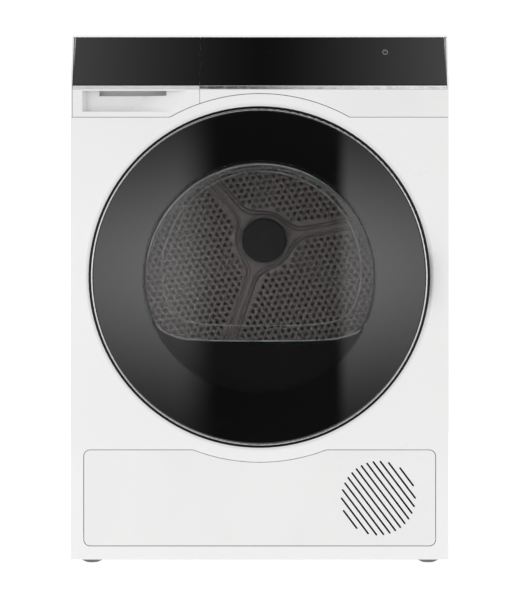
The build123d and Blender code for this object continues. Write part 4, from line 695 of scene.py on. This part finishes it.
def star_distance(x, z):
    """Distance outside the outline of the hub ring and its three spokes, negative inside it."""
    radius = math.hypot(x, z)
    nearest = 1.0
    for angle in STAR_ANGLES:
        along = x * math.cos(angle) + z * math.sin(angle)
        off = abs(z * math.cos(angle) - x * math.sin(angle))
        nearest = min(nearest, off - STAR_HALF_WIDTH if along > 0 else radius)
    hub = radius - STAR_HUB_RADIUS
    near = max(STAR_FILLET - abs(nearest - hub), 0.0) / STAR_FILLET
    return min(nearest, hub) - near * near * STAR_FILLET / 4


def ease(value, start, end):
    t = min(max((value - start) / (end - start), 0.0), 1.0)
    return t * t * (3 - 2 * t)


def star_height(inside):
    """Height of the pressed star above the sheet, at a distance inside its outline."""
    rise = STAR_RISE * ease(inside, 0.0, STAR_FLANK)
    groove = GROOVE_DEPTH * ease(inside, *GROOVE_FALL) * (1 - ease(inside, *GROOVE_CLIMB))
    return rise - groove - SKIRT_DROP * (1 - ease(inside, -SKIRT_WIDTH, 0.0))


def perforated_sheet():
    """Hexagonal cells of sheet, each round a hole, and plain cells under the star and at the rim."""
    side = HOLE_PITCH / math.sqrt(3)
    row_pitch = HOLE_PITCH * math.sqrt(3) / 2
    reach = int(DRUM_WALL_RADIUS / row_pitch) + 2
    corners = [LATTICE_TURN + math.pi / 6 + math.pi / 3 * i for i in range(6)]
    points, faces = [], []
    for row in range(-reach, reach + 1):
        for column in range(-reach, reach + 1):
            u = (column + 0.5 * (row % 2)) * HOLE_PITCH
            v = row * row_pitch
            x = u * math.cos(LATTICE_TURN) - v * math.sin(LATTICE_TURN)
            z = u * math.sin(LATTICE_TURN) + v * math.cos(LATTICE_TURN)
            radius = math.hypot(x, z)
            if radius > DRUM_WALL_RADIUS - side - RIM_WIDTH / 3:
                continue
            first = len(points)
            for angle in corners:
                points.append((x + side * math.cos(angle), SHEET_Y, z + side * math.sin(angle)))
            clear_of_star = star_distance(x, z) > HOLE_RADIUS * HOLE_CLEARANCE
            if not (clear_of_star and radius < DRUM_WALL_RADIUS - RIM_WIDTH):
                faces.append(tuple(range(first, first + 6)))
                continue
            per_side = HOLE_SIDES // 6
            for turn in full_turn(HOLE_SIDES):
                angle = corners[0] + turn
                edge_x, edge_z = HOLE_RADIUS * math.cos(angle), HOLE_RADIUS * math.sin(angle)
                points.append((x + edge_x, SHEET_Y, z + edge_z))
            for i in range(6):
                hole = [first + 6 + (i * per_side + j) % HOLE_SIDES for j in range(per_side + 1)]
                faces.append((first + i, first + (i + 1) % 6, *reversed(hole)))
    return points, faces


def make_sheet():
    points, faces = perforated_sheet()
    points = [(x + DRUM_X, y, z + DRUM_Z) for x, y, z in points]
    sheet = make_piece("drum_wall_perforated", points, faces, "stainless", "drum")
    bm = bmesh.new()
    bm.from_mesh(sheet.data)
    bmesh.ops.remove_doubles(bm, verts=bm.verts, dist=HOLE_PITCH / 100)
    bm.to_mesh(sheet.data)
    bm.free()
    thick = sheet.modifiers.new("thickness", "SOLIDIFY")
    thick.thickness = SHEET_THICK
    thick.offset = 0.0
    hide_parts("drum_rear_wall")


def make_star():
    """The pressed hub and spokes: a fine grid lifted by the star's height."""
    count = int(DRUM_WALL_RADIUS / STAR_STEP)
    index, points, faces = {}, [], []
    for i in range(-count, count + 1):
        for j in range(-count, count + 1):
            x, z = i * STAR_STEP, j * STAR_STEP
            if math.hypot(x, z) > DRUM_WALL_RADIUS - STAR_EDGE_GAP:
                continue
            outside = star_distance(x, z)
            if outside < STAR_SKIRT_STEPS * STAR_STEP:
                index[i, j] = len(points)
                points.append((x + DRUM_X, SHEET_Y - star_height(-outside), z + DRUM_Z))
    for i, j in index:
        corners = [(i, j), (i + 1, j), (i + 1, j + 1), (i, j + 1)]
        if all(c in index for c in corners):
            faces.append(tuple(index[c] for c in corners))
    make_piece("drum_wall_star", points, faces, "stainless", "drum", math.radians(80))


def make_wall_rim():
    points = []
    for inset, lift in RIM_PROFILE:
        radius = DRUM_WALL_RADIUS - inset
        for angle in full_turn(RIM_SIDES):
            x, z = DRUM_X + radius * math.cos(angle), DRUM_Z + radius * math.sin(angle)
            points.append((x, SHEET_Y + lift, z))
    faces = ring_faces(len(RIM_PROFILE), RIM_SIDES)
    make_piece("drum_wall_rim", points, faces, "stainless", "drum", math.radians(80))


# ---- The door's glass bowl

BOWL_SIDES = 144
BOWL_SHARPNESS = 7.0
BOWL_X = DOOR.x + 0.002
BOWL_Z = DOOR.z - 0.0055
BOWL_RADIUS = 0.183
BOWL_FLAT = 0.0958
BOWL_END_RADIUS = 0.1696
BOWL_END_FLAT = 0.0969
BOWL_END_RISE = 0.014
BOWL_WALL = 0.004
BOWL_END_ROUND = 0.016
BOWL_LIP = 0.006
SIDE_STEPS = 6
ROUND_STEPS = 8
END_SHARES = (0.55, 0.25, 0.02)
FLANGE_FRONT = 0.0004
# Inset, negative when outside the bowl, and depth behind the flange's front, round the flange.
FLANGE_PROFILE = [(BOWL_WALL, 0.0), (-0.0055, 0.0), (-0.0068, 0.0012), (-0.0068, 0.003),
                  (-0.0055, 0.0042), (-0.001, 0.0046)]


def bowl_ring(share, inset, y):
    """A ring of the bowl: a round with a flat foot. share runs from the mouth, 0, to the end, 1."""
    radius = BOWL_RADIUS + (BOWL_END_RADIUS - BOWL_RADIUS) * share - inset
    flat = BOWL_FLAT + (BOWL_END_FLAT - BOWL_FLAT) * share - inset
    ring = []
    for i in range(BOWL_SIDES):
        angle = 2 * math.pi * (i + 0.5) / BOWL_SIDES
        down = max(-math.sin(angle), 0.05)
        reach = (radius ** -BOWL_SHARPNESS + (flat / down) ** -BOWL_SHARPNESS) ** (-1 / BOWL_SHARPNESS)
        z = BOWL_Z + BOWL_END_RISE * share + reach * math.sin(angle)
        ring.append((BOWL_X + reach * math.cos(angle), y, z))
    return ring


def bowl_side(inset, depth):
    """Rings of one face of the glass, from the mouth to the middle of its end."""
    mouth_y, end_y = BOWL_LOW.y, BOWL_LOW.y + depth
    rings = []
    turn_y = end_y - BOWL_END_ROUND
    for i in range(SIDE_STEPS + 1):
        y = mouth_y + BOWL_LIP + (turn_y - mouth_y - BOWL_LIP) * i / SIDE_STEPS
        share = (y - mouth_y) / (end_y - mouth_y)
        rings.append((share, inset, y))
    for i in range(1, ROUND_STEPS + 1):
        turn = math.pi / 2 * i / ROUND_STEPS
        y = turn_y + BOWL_END_ROUND * math.sin(turn)
        share = (y - mouth_y) / (end_y - mouth_y)
        rings.append((share, inset + BOWL_END_ROUND * (1 - math.cos(turn)), y))
    for part in END_SHARES:
        last = BOWL_END_FLAT - (BOWL_END_FLAT - inset - BOWL_END_ROUND) * part
        rings.append((1.0, last, end_y))
    return rings


def make_bowl():
    depth = BOWL_HIGH.y - BOWL_LOW.y
    outer = bowl_side(0.0, depth)
    inner = bowl_side(BOWL_WALL, depth - BOWL_WALL)
    front_y = BOWL_LOW.y + FLANGE_FRONT
    flange = [(0.0, inset, front_y + behind) for inset, behind in FLANGE_PROFILE]
    rings = list(reversed(inner)) + flange + outer
    points = []
    for share, inset, y in rings:
        points.extend(bowl_ring(share, inset, y))
    faces = ring_faces(len(rings), BOWL_SIDES)
    faces.append(tuple(reversed(range(BOWL_SIDES))))
    faces.append(tuple(range(len(points) - BOWL_SIDES, len(points))))
    bowl = make_piece("door_bowl_glass", points, faces, "clear_glass", "door", math.radians(50))
    bm = bmesh.new()
    bm.from_mesh(bowl.data)
    bmesh.ops.recalc_face_normals(bm, faces=bm.faces)
    bm.to_mesh(bowl.data)
    bm.free()
    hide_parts("door_bowl")
    pass_light(bowl)


BEAD_INSET = 0.0085
BEAD_FORWARD = 0.001
BEAD_RADIUS = 0.0014
TUBE_SIDES = 10
MOUTH_EDGE_OUT = 0.0005
MOUTH_EDGE_BEHIND = 0.003
MOUTH_EDGE_RADIUS = 0.0011
END_EDGE_BEFORE = 0.005
END_EDGE_RADIUS = 0.0009


def make_tube(name, ring, radius, finish, material):
    """A closed tube round a ring of points that lies across the door's axis."""
    centre = sum((Vector(p) for p in ring), Vector()) / len(ring)
    points, faces = [], []
    for i, point in enumerate(ring):
        outward = (Vector(point) - centre).normalized()
        start, along = i * TUBE_SIDES, (i + 1) % len(ring) * TUBE_SIDES
        for j, turn in enumerate(full_turn(TUBE_SIDES)):
            around = outward * math.cos(turn) + Vector((0, math.sin(turn), 0))
            points.append(Vector(point) + radius * around)
            across = (j + 1) % TUBE_SIDES
            faces.append((start + j, start + across, along + across, along + j))
    tube = make_piece(name, points, faces, finish, "door", math.radians(80))
    tube.data.materials[0] = material
    pass_light(tube)


def make_bowl_edges():
    """The moulded beads at the mouth and at the end of the bowl."""
    edge = glass_edge()
    mouth = bowl_ring(0.0, -MOUTH_EDGE_OUT, BOWL_LOW.y + MOUTH_EDGE_BEHIND)
    end = bowl_ring(1.0, BOWL_END_ROUND / 2, BOWL_HIGH.y - END_EDGE_BEFORE)
    make_tube("door_bowl_mouth_edge", mouth, MOUTH_EDGE_RADIUS, "clear_glass", edge)
    make_tube("door_bowl_end_edge", end, END_EDGE_RADIUS, "clear_glass", edge)


def make_bead():
    """A thin glossy bead round the window, behind the door's pane."""
    radius = FLANGE_RADIUS - BEAD_INSET
    y = BOWL_LOW.y - BEAD_FORWARD
    turns = full_turn(BOWL_SIDES)
    ring = [(DOOR.x + radius * math.cos(t), y, DOOR.z + radius * math.sin(t)) for t in turns]
    make_tube("door_window_bead", ring, BEAD_RADIUS, "black_plastic", OWN_FINISHES["door_frame"])


# ---- Lamps

DRUM_LAMP_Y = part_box("drum_shell")[0].y + 0.05
DRUM_LAMP_Z = 0.44
# Each lamp's place, what it points at, its size in metres and its power in watts.
LAMPS = {
    "side_lamp": ((-1.25, FRONT_Y - 1.5, 0.75), (-0.15, FRONT_Y, 0.40), 0.9, 3.0),
    "drum_lamp_left": ((-0.20, DRUM_LAMP_Y, DRUM_LAMP_Z), (-0.05, WALL_LOW.y, DRUM_LAMP_Z), 0.12, 0.75),
    "drum_lamp_right": ((0.20, DRUM_LAMP_Y, DRUM_LAMP_Z), (0.05, WALL_LOW.y, DRUM_LAMP_Z), 0.12, 0.22),
}


def make_lamps():
    """One soft lamp at the front left and two small ones in the drum, which no mirror shows."""
    for name, (place, aim, size, power) in LAMPS.items():
        data = bpy.data.lights.new(name, "AREA")
        data.size = size
        data.energy = power
        lamp = link(name, data)
        lamp.location = place
        lamp.rotation_euler = (Vector(aim) - Vector(place)).to_track_quat("-Z", "Y").to_euler()
        lamp.visible_camera = False
        lamp.visible_glossy = False


make_camera()
make_lamps()
make_floor()
make_card()
make_world()
finish_nodes()
make_sheet()
make_star()
make_wall_rim()
make_bowl()
make_bowl_edges()
make_bead()
